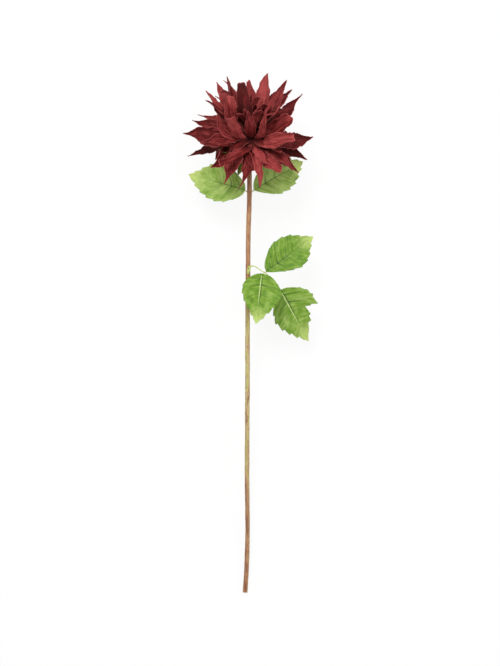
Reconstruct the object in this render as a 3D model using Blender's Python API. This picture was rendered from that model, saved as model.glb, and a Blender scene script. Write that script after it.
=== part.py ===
"""A long-stemmed paper dahlia, lying on its back as it comes to rest.

The flower is built as it grows: x to its right, -y to its front, z up the stem from the cut end.
It is then laid on its back, with the stem along +Y and its front facing up.
"""

import math

import bmesh
import bpy
import numpy as np
from mathutils import Matrix, Vector
from mathutils.bvhtree import BVHTree

MM = 0.001
RIGHT, FRONT, UP = Vector((1, 0, 0)), Vector((0, -1, 0)), Vector((0, 0, 1))

# Fit
GLUE_GAP = 0.3 * MM  # between pieces that are glued or pushed together
PAPER = 0.4 * MM  # petals, bracts and leaf blades

# Stem: a steel wire in a rolled paper sleeve
STEM_HEIGHT = 599 * MM  # cut end to the underside of the core
STEM_DIAMETER = 6.4 * MM
WIRE_DIAMETER = 2.6 * MM
WIRE_INSERT = 16 * MM  # how far the wire goes up into the core
STEM_SIDES = 12
WIRE_SIDES = 8
STEM_STATIONS = 24
# Where the stem sways: mm to the right, mm to the back, and the share of its height.
STEM_SWAY = [
    (-5.3, 0.0, 0.0),
    (-3.4, -0.6, 0.05),
    (-2.2, -1.2, 0.11),
    (-2.6, -2.0, 0.26),
    (-2.2, -1.0, 0.44),
    (-1.9, 0.2, 0.58),
    (-0.9, 1.5, 0.80),
    (0.8, 1.2, 0.93),
]
NECK_BACK = -4.0 * MM  # where the stem meets the core, behind the stem's own line

# Head: a paper bulb that carries five whorls of petals and a rolled bud
HEAD_TILT = math.radians(18)  # the head nods to the front
CORE_RADIUS = 12.5 * MM
CORE_HALF_HEIGHT = 15.5 * MM
CORE_CENTRE = 6 * MM  # above the head's middle
CORE_FOOT = math.radians(-58)  # latitudes of its flat underside and crown
CORE_CROWN = math.radians(72)
CORE_SIDES = 16
CORE_RINGS = 9
BORE_SIDES = 8
PETAL_STATIONS = 8
PETAL_FOOT = 5.4 * MM  # width of a petal's foot, before it is pinched into a half pipe
PETAL_WIDEST = 0.58  # where along a petal it is widest
PETAL_FULLNESS = 0.9  # below 1 keeps it broad to near its tip
PETAL_LIFT = 0.34  # how long a petal keeps the way it leaves the core, as a share of its reach
PETAL_OPEN_TO = 0.87  # where along it the sides have curled back in
PETAL_TWIST_TO = 0.5  # where along it the petal has taken its roll
PETAL_ACROSS = (-1, -0.5, 0, 0.5, 1)  # its points from side to side
BUD_PETALS = 3  # small rolled petals that close the middle, of one piece with the core
BUD_HEIGHT = 44 * MM
BUD_WIDTH = 7.2 * MM
BUD_ROOT = 3 * MM
BUD_SPREAD = math.radians(6)
BUD_TURN = math.radians(30)  # each roll is turned about its own length, like a vane
BUD_FLATNESS = 0.3  # a roll's thickness, as a share of its width
BUD_STEP = 0.06  # how much shorter each roll is than the one before, as a share of the height
BUD_SIDES = 6
BUD_OUTLINE = [(0, 0.4), (0.3, 0.85), (0.6, 1.0), (0.85, 0.6), (1, 0.12)]  # shares of height and width

# Calyx: one star of green paper under the core
CALYX_RADIUS = 8.5 * MM
BRACT_LENGTH = 34 * MM
BRACT_WIDTH = 11 * MM
BRACT_FOOT = 0.6  # a bract's width at the ring, as a share of its own
BRACT_KEEL = 0.25  # how deep it is folded, as a share of its half width
BRACT_OUTLINE = [(0.18, 0.85), (0.45, 1.0), (0.75, 0.7), (1.0, 0.08)]  # shares of length and width
BRACT_BEND = 0.5  # the share of its rise that a bract starts with
# Each bract's heading round the head, from its front to its right, and its rise, in degrees.
BRACTS = [(-160, -24), (-84, 8), (-14, -64), (52, -36), (124, -22)]

# Leaves: a toothed blade with a wire glued along its back
LEAF_LENGTH = 81 * MM
LEAF_WIDTH = 48 * MM
LEAF_LOWER = 0.75  # below 1 sets the widest place nearer the foot
LEAF_ROUNDNESS = 0.85  # below 1 makes the sides fuller
LEAF_TEETH = 6
TOOTH = 0.055  # a tooth's height, as a share of its rib's length
RIB_ANGLES = (math.radians(80), math.radians(35))  # from the midrib, at the foot and at the tip
LAST_RIB = 0.97  # where the last rib leaves the midrib, as a share of the blade's length
LEAF_FOLD = 0.16  # how much a blade rises to its sides
LEAF_DROOP = 0.10  # how much it bends back to its tip
LEAF_WIRE = 1.4 * MM
LEAF_WIRE_SPAN = (0.03, 0.72)  # where its wire backs the blade, as shares of the blade's length
LEAF_WIRE_POINTS = 5  # how many points of its route lie under the blade
LEAF_WIRE_KNEE = 0.35  # where a wire leaves the stem, as a share of its foot
GREEN_WIRE_SIDES = 6
LEAF_WIRE_STATIONS = 14
LEAF_FOOT = 9 * MM  # of a leaf's wire that lies along the stem
LEAF_SET_OFF = 2.6 * MM  # from the stem's side to the blade
LEAF_SEAT_TURN = math.radians(50)  # from the stem's side round to where the wires are glued, at its back
# The two top leaves: which side, heading in degrees from the right, lean to the front in degrees.
TOP_LEAVES = [("leaf_left", -1, 164, -9), ("leaf_right", 1, 31, -10)]
LEAF_NODE = 0.912  # where they leave the stem, as a share of its height

# Leaf twig: a wire from the stem's front that forks to three leaflets
TWIG_WIRE = 1.5 * MM
TWIG_NODE = 0.736  # where it leaves the stem, as a share of its height
TWIG_STATIONS = 26
STALK_FIT = 0.98  # a branch's diameter, as a share of the twig's, so that it starts inside it
# Its route from the stem's middle at that height: mm right, front and up.
TWIG_ROUTE = [(6.5, 6.5, 2.0), (14.5, 7.5, -2.0), (23.5, 8.0, -6.8)]
# Its leaflets: where each blade starts from the fork (right, front, up), heading and lean.
LEAFLETS = [
    ("leaflet_upper", (1.5, 1.5, 1.0), 37, -5, False),
    ("leaflet_front", (-4.5, 2.5, -1.8), -97, 34, False),
    ("leaflet_lower", (20.5, -6.5, -23.5), -61, -6, True),
]
# The lower leaflet's side lobe: where each rib starts on the midrib (mm), its angle, its length (mm),
# drawn on a blade of this length.
LOBE_DRAWN_FOR = 81 * MM
LOBE_RIBS = [
    (0, 92, 7), (1.6, 82, 22), (3.6, 62, 38.5), (7, 47, 45.5), (15, 47, 21.5), (22, 47, 23.5), (28, 47, 25.5),
    (33, 47, 21), (40, 49, 20.5), (47, 46, 14.5), (54, 42, 13), (62, 34, 8.5), (70, 30, 5), (77, 30, 0.8),
]
EDGE_SEARCH_STEPS = 30  # halvings of a blade's length, in the search for its edge
BLADE_MIDDLE = 0.5  # where on its ribs a blade has the points between midrib and edge

LEAST_FACE = 1 * MM * MM  # a smaller face of its hull is nothing that the flower could lie on

COLOURS = {
    "petal": ((0.27, 0.025, 0.03, 1), 0.85, 0.0),
    "core": ((0.12, 0.012, 0.016, 1), 0.9, 0.0),
    "leaf": ((0.19, 0.36, 0.05, 1), 0.7, 0.0),
    "wrap": ((0.42, 0.24, 0.14, 1), 0.75, 0.0),
    "green_wire": ((0.45, 0.55, 0.16, 1), 0.6, 0.0),
    "steel": ((0.5, 0.5, 0.5, 1), 0.35, 1.0),
}
# For the balance point only, in kg per cubic metre.
DENSITY = {"petal": 800, "core": 250, "leaf": 800, "wrap": 800, "green_wire": 7850, "steel": 7850}

# Petals. Each has a name, where its tip stands from the head's middle (right, up, front, in mm), its
# width in mm, its roll about its own length in degrees, how far its sides curl in (1 is a half
# pipe), and how blunt its end is, as a share of its width.
SKIRT = [
    ("skirt_01", (-83, -13, -12), 15, -20, 0.45, 0.05),
    ("skirt_02", (-52, -29, 50), 21, -24, 0.30, 0.05),
    ("skirt_03", (-34, -52, 52), 20, -8, 0.30, 0.05),
    ("skirt_04", (-13, -56, 56), 17, 5, 0.40, 0.05),
    ("skirt_05", (15, -55, 58), 14, 0, 0.55, 0.10),
    ("skirt_06", (44, -34, 63), 21, -12, 0.30, 0.42),
    ("skirt_07", (60, -34, 42), 14, 10, 0.45, 0.08),
    ("skirt_08", (67, -36, 16), 15, -10, 0.45, 0.08),
    ("skirt_09", (79, -18, -8), 20, 24, 0.35, 0.05),
    ("skirt_10", (68, -8, -36), 22, 12, 0.35, 0.05),
    ("skirt_11", (38, -8, -70), 22, -8, 0.30, 0.06),
    ("skirt_12", (-4, 4, -70), 22, 6, 0.35, 0.06),
    ("skirt_13", (-46, -14, -50), 22, 8, 0.30, 0.06),
    ("skirt_14", (-66, -8, -34), 21, -16, 0.35, 0.05),
]
TRAY = [
    ("tray_01", (-89, 17, 14), 25, -52, 0.25, 0.05),
    ("tray_02", (-64, 4, 50), 22, -36, 0.30, 0.06),
    ("tray_03", (-40, -26, 66), 17, -10, 0.35, 0.35),
    ("tray_04", (62, 10, 46), 22, 34, 0.25, 0.55),
    ("tray_05", (86, 12, -4), 26, 52, 0.25, 0.05),
    ("tray_06", (60, 11, -54), 24, 30, 0.30, 0.06),
    ("tray_07", (20, 32, -68), 24, -6, 0.30, 0.06),
    ("tray_08", (-34, 34, -70), 24, 8, 0.30, 0.06),
    ("tray_09", (-62, 16, -48), 24, -30, 0.30, 0.05),
]
BOWL = [
    ("bowl_01", (-77, 35, 0), 19, -45, 0.40, 0.05),
    ("bowl_02", (-70, 45, -24), 18, -45, 0.45, 0.05),
    ("bowl_03", (-44, 41, 50), 21, -42, 0.30, 0.25),
    ("bowl_04", (-24, 38, 64), 19, -10, 0.25, 0.62),
    ("bowl_05", (-2, 46, 66), 18, 0, 0.35, 0.08),
    ("bowl_06", (23, 47, 62), 17, 10, 0.45, 0.10),
    ("bowl_07", (57, 40, 40), 23, 44, 0.25, 0.60),
    ("bowl_08", (71, 69, 4), 23, 50, 0.35, 0.08),
    ("bowl_09", (42, 64, -46), 22, 8, 0.35, 0.10),
    ("bowl_10", (2, 68, -52), 22, -8, 0.35, 0.10),
    ("bowl_11", (-42, 64, -46), 22, 6, 0.35, 0.10),
]
CROWN = [
    ("crown_01", (-58, 74, 14), 21, -50, 0.35, 0.06),
    ("crown_02", (-26, 68, 50), 20, -14, 0.40, 0.60),
    ("crown_03", (18, 66, 52), 17, 6, 0.45, 0.12),
    ("crown_04", (39, 72, 30), 16, 40, 0.45, 0.10),
    ("crown_05", (58, 77, -10), 19, 52, 0.45, 0.08),
    ("crown_06", (22, 86, -28), 21, 6, 0.35, 0.12),
    ("crown_07", (-22, 72, -36), 21, -8, 0.35, 0.12),
]
HEART = [
    ("heart_01", (-44, 87, -2), 20, -50, 0.35, 0.05),
    ("heart_02", (-30, 94, 16), 20, -60, 0.40, 0.06),
    ("heart_03", (-11, 86, 40), 20, 2, 0.40, 0.60),
    ("heart_04", (-1, 90, -8), 18, -6, 0.45, 0.35),
    ("heart_05", (25, 98, 24), 24, 4, 0.30, 0.08),
    ("heart_06", (51, 88, 2), 26, 50, 0.30, 0.10),
]
SEAT_STAGGER = 5  # every other petal of a whorl is glued this much higher, the rest lower, in degrees
# Each whorl's petals and the latitude on the core that they are glued at, in degrees.
WHORLS = [(SKIRT, -15), (TRAY, 5), (BOWL, 24), (CROWN, 42), (HEART, 59)]
# How a petal may give way to those in place: degrees turned, share of its reach bowed, width kept.
TURN_STEP, BOW_STEP, NARROW_STEP = 10, 0.05, 0.12
GIVES = [
    (TURN_STEP * turns, BOW_STEP * bows, 1 - NARROW_STEP * cuts)
    for turns, bows, cuts in sorted(
        ((turns, bows, cuts) for turns in range(-6, 7) for bows in range(-3, 4) for cuts in range(3)),
        key=lambda steps: abs(steps[0]) + abs(steps[1]) + 2 * steps[2],
    )
]


def clear_scene():
    for old in list(bpy.data.objects):
        bpy.data.objects.remove(old)


def material(slot):
    """The slot's plain material, made once."""
    found = bpy.data.materials.get(slot)
    if found:
        return found
    colour, roughness, metallic = COLOURS[slot]
    made = bpy.data.materials.new(slot)
    made.use_nodes = True
    shader = made.node_tree.nodes["Principled BSDF"]
    shader.inputs["Base Color"].default_value = colour
    shader.inputs["Roughness"].default_value = roughness
    shader.inputs["Metallic"].default_value = metallic
    return made


def add_object(name, verts, faces, slot, parent):
    mesh = bpy.data.meshes.new(name)
    mesh.from_pydata([tuple(v) for v in verts], [], faces)
    mesh.materials.append(material(slot))
    mesh.shade_smooth()
    made = bpy.data.objects.new(name, mesh)
    bpy.context.scene.collection.objects.link(made)
    made.parent = parent
    return made


def add_sheet(name, verts, faces, slot, parent):
    """A sheet of paper of its real thickness."""
    sheet = add_object(name, verts, faces, slot, parent)
    solid = sheet.modifiers.new("Paper", "SOLIDIFY")
    solid.thickness = PAPER
    solid.offset = 0
    return sheet


def grid(rows):
    """Points and faces of a sheet through rows of points, all rows of the same length."""
    across = len(rows[0])
    faces = [
        (r * across + c, r * across + c + 1, (r + 1) * across + c + 1, (r + 1) * across + c)
        for r in range(len(rows) - 1)
        for c in range(across - 1)
    ]
    return [p for row in rows for p in row], faces


def smooth_route(points, count):
    """Points spaced along one smooth curve through the given ones."""
    known = np.array([tuple(p) for p in points])
    along = np.concatenate([[0], np.cumsum(np.linalg.norm(np.diff(known, axis=0), axis=1))])
    slope = np.gradient(known, along, axis=0)
    made = []
    for at in np.linspace(0, along[-1], count):
        i = min(int(np.searchsorted(along, at, side="right")) - 1, len(along) - 2)
        span = along[i + 1] - along[i]
        t = (at - along[i]) / span
        made.append(
            (2 * t**3 - 3 * t**2 + 1) * known[i]
            + (t**3 - 2 * t**2 + t) * span * slope[i]
            + (3 * t**2 - 2 * t**3) * known[i + 1]
            + (t**3 - t**2) * span * slope[i + 1]
        )
    return [Vector(p) for p in made]


def directions(route):
    """The way the route runs at each of its points."""
    last = len(route) - 1
    return [(route[min(i + 1, last)] - route[max(i - 1, 0)]).normalized() for i in range(last + 1)]


def ring(centre, side, other, radius, sides, flat=1.0):
    turns = [2 * math.pi * k / sides for k in range(sides)]
    return [centre + side * math.cos(a) * radius + other * math.sin(a) * radius * flat for a in turns]


def rings_along(route, radius, sides, first=None, end=None):
    """Rings of points round a route, kept from twisting. first and end square off its two ends."""
    ways = directions(route)
    ways[0] = first or ways[0]
    ways[-1] = end or ways[-1]
    side = ways[0].orthogonal().normalized()
    rings = []
    for point, way in zip(route, ways):
        side = (side - way * side.dot(way)).normalized()
        rings.append(ring(point, side, way.cross(side), radius, sides))
    return rings


def skin(rings, ends=True):
    """Points and faces of the skin over rings, with flat ends."""
    sides = len(rings[0])
    faces = []
    for i in range(len(rings) - 1):
        low, high = i * sides, (i + 1) * sides
        faces += [(low + k, low + (k + 1) % sides, high + (k + 1) % sides, high + k) for k in range(sides)]
    if ends:
        faces.append(tuple(reversed(range(sides))))
        faces.append(tuple(range((len(rings) - 1) * sides, len(rings) * sides)))
    return [p for one in rings for p in one], faces


def add_rod(name, route, diameter, sides, slot, parent, first=None, end=None):
    return add_object(name, *skin(rings_along(route, diameter / 2, sides, first, end)), slot, parent)


def add_sleeve(name, outside, inside, slot, parent):
    """A tube with a bore: outside and inside hold the same number of rings and points."""
    sides, count = len(outside[0]), len(outside)
    verts, faces = skin(outside, ends=False)
    inner_verts, inner_faces = skin(inside, ends=False)
    step, last = len(verts), (count - 1) * sides
    faces += [tuple(step + v for v in reversed(face)) for face in inner_faces]
    for k in range(sides):
        n = (k + 1) % sides
        faces.append((n, k, step + k, step + n))
        faces.append((last + k, last + n, step + last + n, step + last + k))
    return add_object(name, verts + inner_verts, faces, slot, parent)


def add_helper(name, rings, parent):
    """A closed shape for a Boolean, kept out of the finished flower."""
    helper = add_object(name, *skin(rings), "core", parent)
    helper.hide_render = True
    helper.display_type = "WIRE"
    return helper


def combine(target, helper, operation):
    change = target.modifiers.new(helper.name, "BOOLEAN")
    change.operation = operation
    change.object = helper


def head_up():
    """The way the flower's head points: up, nodding to the front."""
    return UP * math.cos(HEAD_TILT) + FRONT * math.sin(HEAD_TILT)


def head_front():
    return FRONT * math.cos(HEAD_TILT) - UP * math.sin(HEAD_TILT)


def neck_end():
    """Where the stem's sleeve meets the core's underside."""
    return UP * STEM_HEIGHT + FRONT * NECK_BACK


def head_middle():
    return neck_end() - head_up() * core_height(CORE_FOOT)


def outward(heading):
    """Straight out from the head's axis, at a heading from its front round to its right."""
    return RIGHT * math.sin(heading) + head_front() * math.cos(heading)


def core_height(latitude):
    return CORE_CENTRE + CORE_HALF_HEIGHT * math.sin(latitude)


def core_radius(latitude):
    return CORE_RADIUS * math.cos(latitude)


def stem_route():
    points = [RIGHT * x * MM - FRONT * y * MM + UP * share * STEM_HEIGHT for x, y, share in STEM_SWAY]
    points += [neck_end() - head_up() * STEM_DIAMETER, neck_end()]
    return smooth_route(points, STEM_STATIONS)


def stem_at(share):
    """The stem's middle at a share of its height."""
    route = stem_route()
    height = share * STEM_HEIGHT
    i = max(n for n in range(len(route) - 1) if route[n].z <= height)
    t = (height - route[i].z) / (route[i + 1].z - route[i].z)
    return route[i].lerp(route[i + 1], t)


def add_stem(parent):
    route = stem_route()
    foot, up = directions(route)[0], head_up()
    sleeve = route[:-1] + [neck_end() - up * GLUE_GAP]
    outer = rings_along(sleeve, STEM_DIAMETER / 2, STEM_SIDES, foot, up)
    inner = rings_along(sleeve, WIRE_DIAMETER / 2 + GLUE_GAP, STEM_SIDES, foot, up)
    add_sleeve("stem_wrap", outer, inner, "wrap", parent)
    wire = route + [neck_end() + up * WIRE_INSERT]
    add_rod("stem_wire", wire, WIRE_DIAMETER, WIRE_SIDES, "steel", parent, foot, up)


def core_rings(spare=0.0):
    """The core's outline, or one that stands off it by a spare width."""
    up, across = head_up(), head_front()
    rings = []
    for latitude in np.linspace(CORE_FOOT, CORE_CROWN, CORE_RINGS):
        centre = head_middle() + up * (core_height(latitude) + spare * math.sin(latitude))
        rings.append(ring(centre, RIGHT, -across, core_radius(latitude) + spare, CORE_SIDES))
    return rings


def add_core(parent):
    """The paper bulb that the petals are glued to, with its wire hole and the rolled bud on top."""
    up = head_up()
    core = add_object("flower_core", *skin(core_rings()), "core", parent)
    bore_radius = WIRE_DIAMETER / 2 + GLUE_GAP
    bore = [neck_end() - up * CORE_RADIUS, neck_end() + up * (WIRE_INSERT + GLUE_GAP)]
    combine(core, add_helper("wire_hole", rings_along(bore, bore_radius, BORE_SIDES), parent), "DIFFERENCE")
    for number in range(BUD_PETALS):
        combine(core, add_helper(f"bud_{number}", bud_rings(number), parent), "UNION")


def bud_rings(number, spare=0.0):
    """One rolled paper petal of the bud: a slim leaf-shaped roll that leans out from the crown."""
    between = seats(HEART)[0][1] + math.pi / len(HEART)
    up, out = head_up(), outward(between + 2 * math.pi * number / BUD_PETALS)
    way = up * math.cos(BUD_SPREAD) + out * math.sin(BUD_SPREAD)
    across = Matrix.Rotation(BUD_TURN, 3, way) @ up.cross(out)
    root = head_middle() + up * (core_height(CORE_CROWN) - BUD_ROOT) + out * BUD_ROOT
    height = BUD_HEIGHT * (1 - BUD_STEP * number)
    rings = []
    for share, wide in BUD_OUTLINE:
        half = BUD_WIDTH / 2 * wide + spare
        centre = root + way * height * share
        rings.append(ring(centre, across, way.cross(across), half, BUD_SIDES, BUD_FLATNESS))
    return rings


def petal_half_width(share, width, end):
    """Half a petal's width at a share of its length."""
    if share < PETAL_WIDEST:
        return (PETAL_FOOT + (width - PETAL_FOOT) * math.sin(math.pi / 2 * share / PETAL_WIDEST)) / 2
    rest = (share - PETAL_WIDEST) / (1 - PETAL_WIDEST)
    return width / 2 * (end + (1 - end) * math.cos(math.pi / 2 * rest) ** PETAL_FULLNESS)


def bezier(a, b, c, d, s):
    """A point on the curve from a to d, and the way the curve runs there."""
    r = 1 - s
    point = a * r**3 + b * 3 * r * r * s + c * 3 * r * s * s + d * s**3
    way = (b - a) * r * r + (c - b) * 2 * r * s + (d - c) * s * s
    return point, way.normalized()


def petal_rows(petal, heading, latitude, give):
    """Rows of points over one petal: a narrow foot on the core, then a cupped blade to its tip."""
    _, (right, up, front), width, roll, curl, end = petal
    turn, bow, kept = give
    goal = head_middle() + (RIGHT * right + UP * up + FRONT * front) * MM
    out = outward(heading)
    slope = math.atan2(math.sin(latitude) / CORE_HALF_HEIGHT, math.cos(latitude) / CORE_RADIUS)
    set_out = out * math.cos(slope) + head_up() * math.sin(slope)
    foot = head_middle() + head_up() * core_height(latitude) + out * core_radius(latitude)
    seat = foot + set_out * (PAPER / 2 + GLUE_GAP)
    side = head_up().cross(out)
    reach = (goal - seat).length
    lift = (goal - seat).cross(side).normalized() * reach * bow
    knee = seat + set_out * reach * PETAL_LIFT + lift
    bend = goal - (goal - knee).normalized() * reach * PETAL_LIFT + lift
    rows = []
    for i in range(PETAL_STATIONS):
        s = i / (PETAL_STATIONS - 1)
        point, way = bezier(seat, knee, bend, goal, s)
        across = (side - way * side.dot(way)).normalized()
        across = Matrix.Rotation(math.radians(roll + turn) * min(1, s / PETAL_TWIST_TO), 3, way) @ across
        inward = way.cross(across)
        half = petal_half_width(s, width * kept * MM, end)
        opened = math.sqrt(max(0, math.sin(math.pi * min(1, s / PETAL_OPEN_TO))))
        arc = math.pi / 2 * (1 - (1 - curl) * opened)
        bent = half / arc
        rows.append([
            point + across * bent * math.sin(arc * c) + inward * bent * (1 - math.cos(arc * c))
            for c in PETAL_ACROSS
        ])
    return rows


def fat_tree(verts, faces):
    """The skin of a sheet of paper with half the glue gap round it, to search for overlaps."""
    sheet = bmesh.new()
    points = [sheet.verts.new(v) for v in verts]
    for face in faces:
        sheet.faces.new([points[k] for k in face])
    sheet.normal_update()
    sheet.verts.index_update()
    half = (PAPER + GLUE_GAP) / 2
    above = [v.co + v.normal * half for v in sheet.verts]
    below = [v.co - v.normal * half for v in sheet.verts]
    step = len(verts)
    polygons = [tuple(face) for face in faces] + [tuple(step + k for k in reversed(face)) for face in faces]
    for edge in sheet.edges:
        if edge.is_boundary:
            a, b = edge.verts[0].index, edge.verts[1].index
            polygons.append((a, b, step + b, step + a))
    sheet.free()
    return BVHTree.FromPolygons(above + below, polygons)


def heading_of(tip):
    """The heading round the head of a petal's tip."""
    right, up, front = tip
    return math.atan2(right, front * math.cos(HEAD_TILT) - up * math.sin(HEAD_TILT))


def seats(petals):
    """A whorl's petals in order round the core, each with its seat's heading: evenly spaced."""
    ordered = sorted(petals, key=lambda petal: heading_of(petal[1]))
    pitch = 2 * math.pi / len(ordered)
    start = sum(heading_of(petal[1]) - pitch * k for k, petal in enumerate(ordered)) / len(ordered)
    return [(petal, start + pitch * k) for k, petal in enumerate(ordered)]


def add_petals(parent, placed):
    """All petals, from the front of the flower to its back, each clear of those in place."""
    waiting = []
    for petals, latitude in WHORLS:
        for k, (petal, heading) in enumerate(seats(petals)):
            stagger = SEAT_STAGGER * (1 if k % 2 else -1)
            waiting.append((petal, heading, math.radians(latitude + stagger)))
    for petal, heading, latitude in sorted(waiting, key=lambda one: -one[0][1][2]):
        best = None
        for give in GIVES:
            sheet = grid(petal_rows(petal, heading, latitude, give))
            tree = fat_tree(*sheet)
            clashes = sum(len(tree.overlap(other)) for other in placed)
            if best is None or clashes < best[0]:
                best = (clashes, sheet, tree)
            if clashes == 0:
                break
        placed.append(best[2])
        add_sheet(f"petal_{petal[0]}", *best[1], "petal", parent)


def add_calyx(parent):
    """A star of green paper, pushed up the stem: a ring round it, and bracts that bend from the ring."""
    up = head_up()
    centre = neck_end() - up * (GLUE_GAP + PAPER / 2)
    hole = STEM_DIAMETER / 2 + GLUE_GAP
    foot = BRACT_WIDTH / 2 * BRACT_FOOT / CALYX_RADIUS
    turns = []
    for number, (heading, _) in enumerate(BRACTS):
        following = BRACTS[(number + 1) % len(BRACTS)][0]
        middle, gap = math.radians(heading), math.radians((following - heading) % 360)
        turns += [middle - foot, middle, middle + foot, middle + gap / 2]
    sides = len(turns)
    verts = [centre + outward(a) * hole for a in turns] + [centre + outward(a) * CALYX_RADIUS for a in turns]
    faces = [(k, (k + 1) % sides, sides + (k + 1) % sides, sides + k) for k in range(sides)]
    for number, (heading, rise) in enumerate(BRACTS):
        row = [sides + 4 * number + k for k in range(3)]
        out = outward(math.radians(heading))
        across = out.cross(up)
        point = centre + out * CALYX_RADIUS
        reached = 0.0
        for share, wide in BRACT_OUTLINE:
            slope = math.radians(rise) * min(1, BRACT_BEND + share)
            point = point + (out * math.cos(slope) + up * math.sin(slope)) * BRACT_LENGTH * (share - reached)
            reached = share
            spread = across * BRACT_WIDTH / 2 * wide
            keel = -up * spread.length * BRACT_KEEL
            fresh = [len(verts) + k for k in range(3)]
            verts += [point + spread, point + keel, point - spread]
            faces += [(row[k], row[k + 1], fresh[k + 1], fresh[k]) for k in range(2)]
            row = fresh
    add_sheet("calyx", verts, faces, "leaf", parent)
    return fat_tree(verts, faces)


def leaf_axes(heading, lean):
    """A blade's own axes: along its midrib, across it, and out of its face."""
    heading, lean = math.radians(heading), math.radians(lean)
    level = RIGHT * math.cos(heading) + UP * math.sin(heading)
    along = level * math.cos(lean) + FRONT * math.sin(lean)
    across = FRONT.cross(level).normalized()
    return along, across, along.cross(across)


def leaf_point(base, axes, along, across):
    """A point of a folded, drooping blade, from its flat place on the paper."""
    droop = LEAF_DROOP * along * along / LEAF_LENGTH
    return base + axes[0] * along + axes[1] * across + axes[2] * (abs(across) * LEAF_FOLD - droop)


def leaf_half_width(along):
    share = min(max(along / LEAF_LENGTH, 0), 1)
    return LEAF_WIDTH / 2 * math.sin(math.pi * share**LEAF_LOWER) ** LEAF_ROUNDNESS


def rib_to_edge(start, angle):
    """How far a rib runs from the midrib to the blade's edge."""
    low, high = 0.0, LEAF_LENGTH
    for _ in range(EDGE_SEARCH_STEPS):
        reach = (low + high) / 2
        inside = reach * math.sin(angle) < leaf_half_width(start + reach * math.cos(angle))
        low, high = (reach, high) if inside else (low, reach)
    return max(low, PAPER)


def toothed(ribs):
    """Start, angle and length of each rib, long to a tooth's point and short to the notch after it."""
    made = []
    for k, (start, angle) in enumerate(ribs):
        tooth = 0 if k in (0, len(ribs) - 1) else TOOTH * (1 if k % 2 else -1)
        made.append((start, angle, rib_to_edge(start, angle) * (1 + tooth)))
    return made


def rib_angles(count):
    first, last = RIB_ANGLES
    return [first + (last - first) * k / (count - 1) for k in range(count)]


def plain_ribs():
    """The ribs of a plain blade's side."""
    count = 2 * LEAF_TEETH + 2
    starts = [LEAF_LENGTH * LAST_RIB * k / (count - 1) for k in range(count)]
    return toothed(list(zip(starts, rib_angles(count))))


def lobed_ribs():
    """The ribs of the lower leaflet's lobed side."""
    scale = LEAF_LENGTH / LOBE_DRAWN_FOR
    return [
        (start * MM * scale, math.radians(angle), reach * MM * scale)
        for start, angle, reach in LOBE_RIBS
    ]


def add_blade(name, base, axes, lobed, parent):
    ribs = {-1: plain_ribs(), 1: plain_ribs()}
    if lobed:
        ribs[1] = lobed_ribs()
        starts = [start for start, _, _ in ribs[1]]
        ribs[-1] = toothed(list(zip(starts, rib_angles(len(starts)))))
    rows = []
    for left, right in zip(ribs[-1], ribs[1]):
        row = []
        for side, (start, angle, reach), part in (
            (-1, left, 1), (-1, left, BLADE_MIDDLE), (0, left, 0), (1, right, BLADE_MIDDLE), (1, right, 1),
        ):
            along = start + reach * part * math.cos(angle)
            row.append(leaf_point(base, axes, along, side * reach * part * math.sin(angle)))
        rows.append(row)
    add_sheet(name, *grid(rows), "leaf", parent)
    return fat_tree(*grid(rows))


def under_blade(base, axes, diameter):
    """The route of a wire that is glued along the back of a blade's midrib."""
    drop = axes[2] * (PAPER / 2 + GLUE_GAP + diameter / 2)
    first, last = LEAF_WIRE_SPAN
    steps = LEAF_WIRE_POINTS - 1
    shares = [first + (last - first) * k / steps for k in range(LEAF_WIRE_POINTS)]
    return [leaf_point(base, axes, LEAF_LENGTH * share, 0) - drop for share in shares]


def add_top_leaves(parent):
    """The two leaves close under the head. Returns their blades' skins, for the petals to keep clear of."""
    trees = []
    for name, side, heading, lean in TOP_LEAVES:
        axes = leaf_axes(heading, lean)
        stem = stem_at(LEAF_NODE)
        out = RIGHT * side
        reach = STEM_DIAMETER / 2 + GLUE_GAP + LEAF_WIRE / 2
        behind = -FRONT * math.sin(LEAF_SEAT_TURN) * reach
        seat = stem + out * math.cos(LEAF_SEAT_TURN) * reach + behind
        base = stem + out * (STEM_DIAMETER / 2 + LEAF_SET_OFF) + behind + FRONT * (LEAF_WIRE + GLUE_GAP)
        trees.append(add_blade(name, base, axes, False, parent))
        low = stem_at(LEAF_NODE - LEAF_FOOT / STEM_HEIGHT) + (seat - stem)
        stops = [low, seat.lerp(low, LEAF_WIRE_KNEE)] + under_blade(base, axes, LEAF_WIRE)
        route = smooth_route(stops, LEAF_WIRE_STATIONS)
        add_rod(f"{name}_wire", route, LEAF_WIRE, GREEN_WIRE_SIDES, "green_wire", parent)
    return trees


def add_twig(parent):
    stem = stem_at(TWIG_NODE)
    seat = FRONT * (STEM_DIAMETER / 2 + GLUE_GAP + TWIG_WIRE / 2)
    low = stem_at(TWIG_NODE - LEAF_FOOT / STEM_HEIGHT) + seat
    route = [low, stem + seat] + [stem + (RIGHT * x + FRONT * y + UP * z) * MM for x, y, z in TWIG_ROUTE]
    fork = route[-1]
    twig = None
    for name, (right, front, up), heading, lean, lobed in LEAFLETS:
        axes = leaf_axes(heading, lean)
        base = fork + (RIGHT * right + FRONT * front + UP * up) * MM
        add_blade(name, base, axes, lobed, parent)
        branch = under_blade(base, axes, TWIG_WIRE)
        if twig is None:
            whole = smooth_route(route + branch, TWIG_STATIONS)
            twig = add_rod("twig", whole, TWIG_WIRE, GREEN_WIRE_SIDES, "green_wire", parent)
        else:
            stalk = smooth_route([fork] + branch, LEAF_WIRE_STATIONS)
            rings = rings_along(stalk, TWIG_WIRE / 2 * STALK_FIT, GREEN_WIRE_SIDES)
            combine(twig, add_helper(f"{name}_stalk", rings, parent), "UNION")


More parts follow.
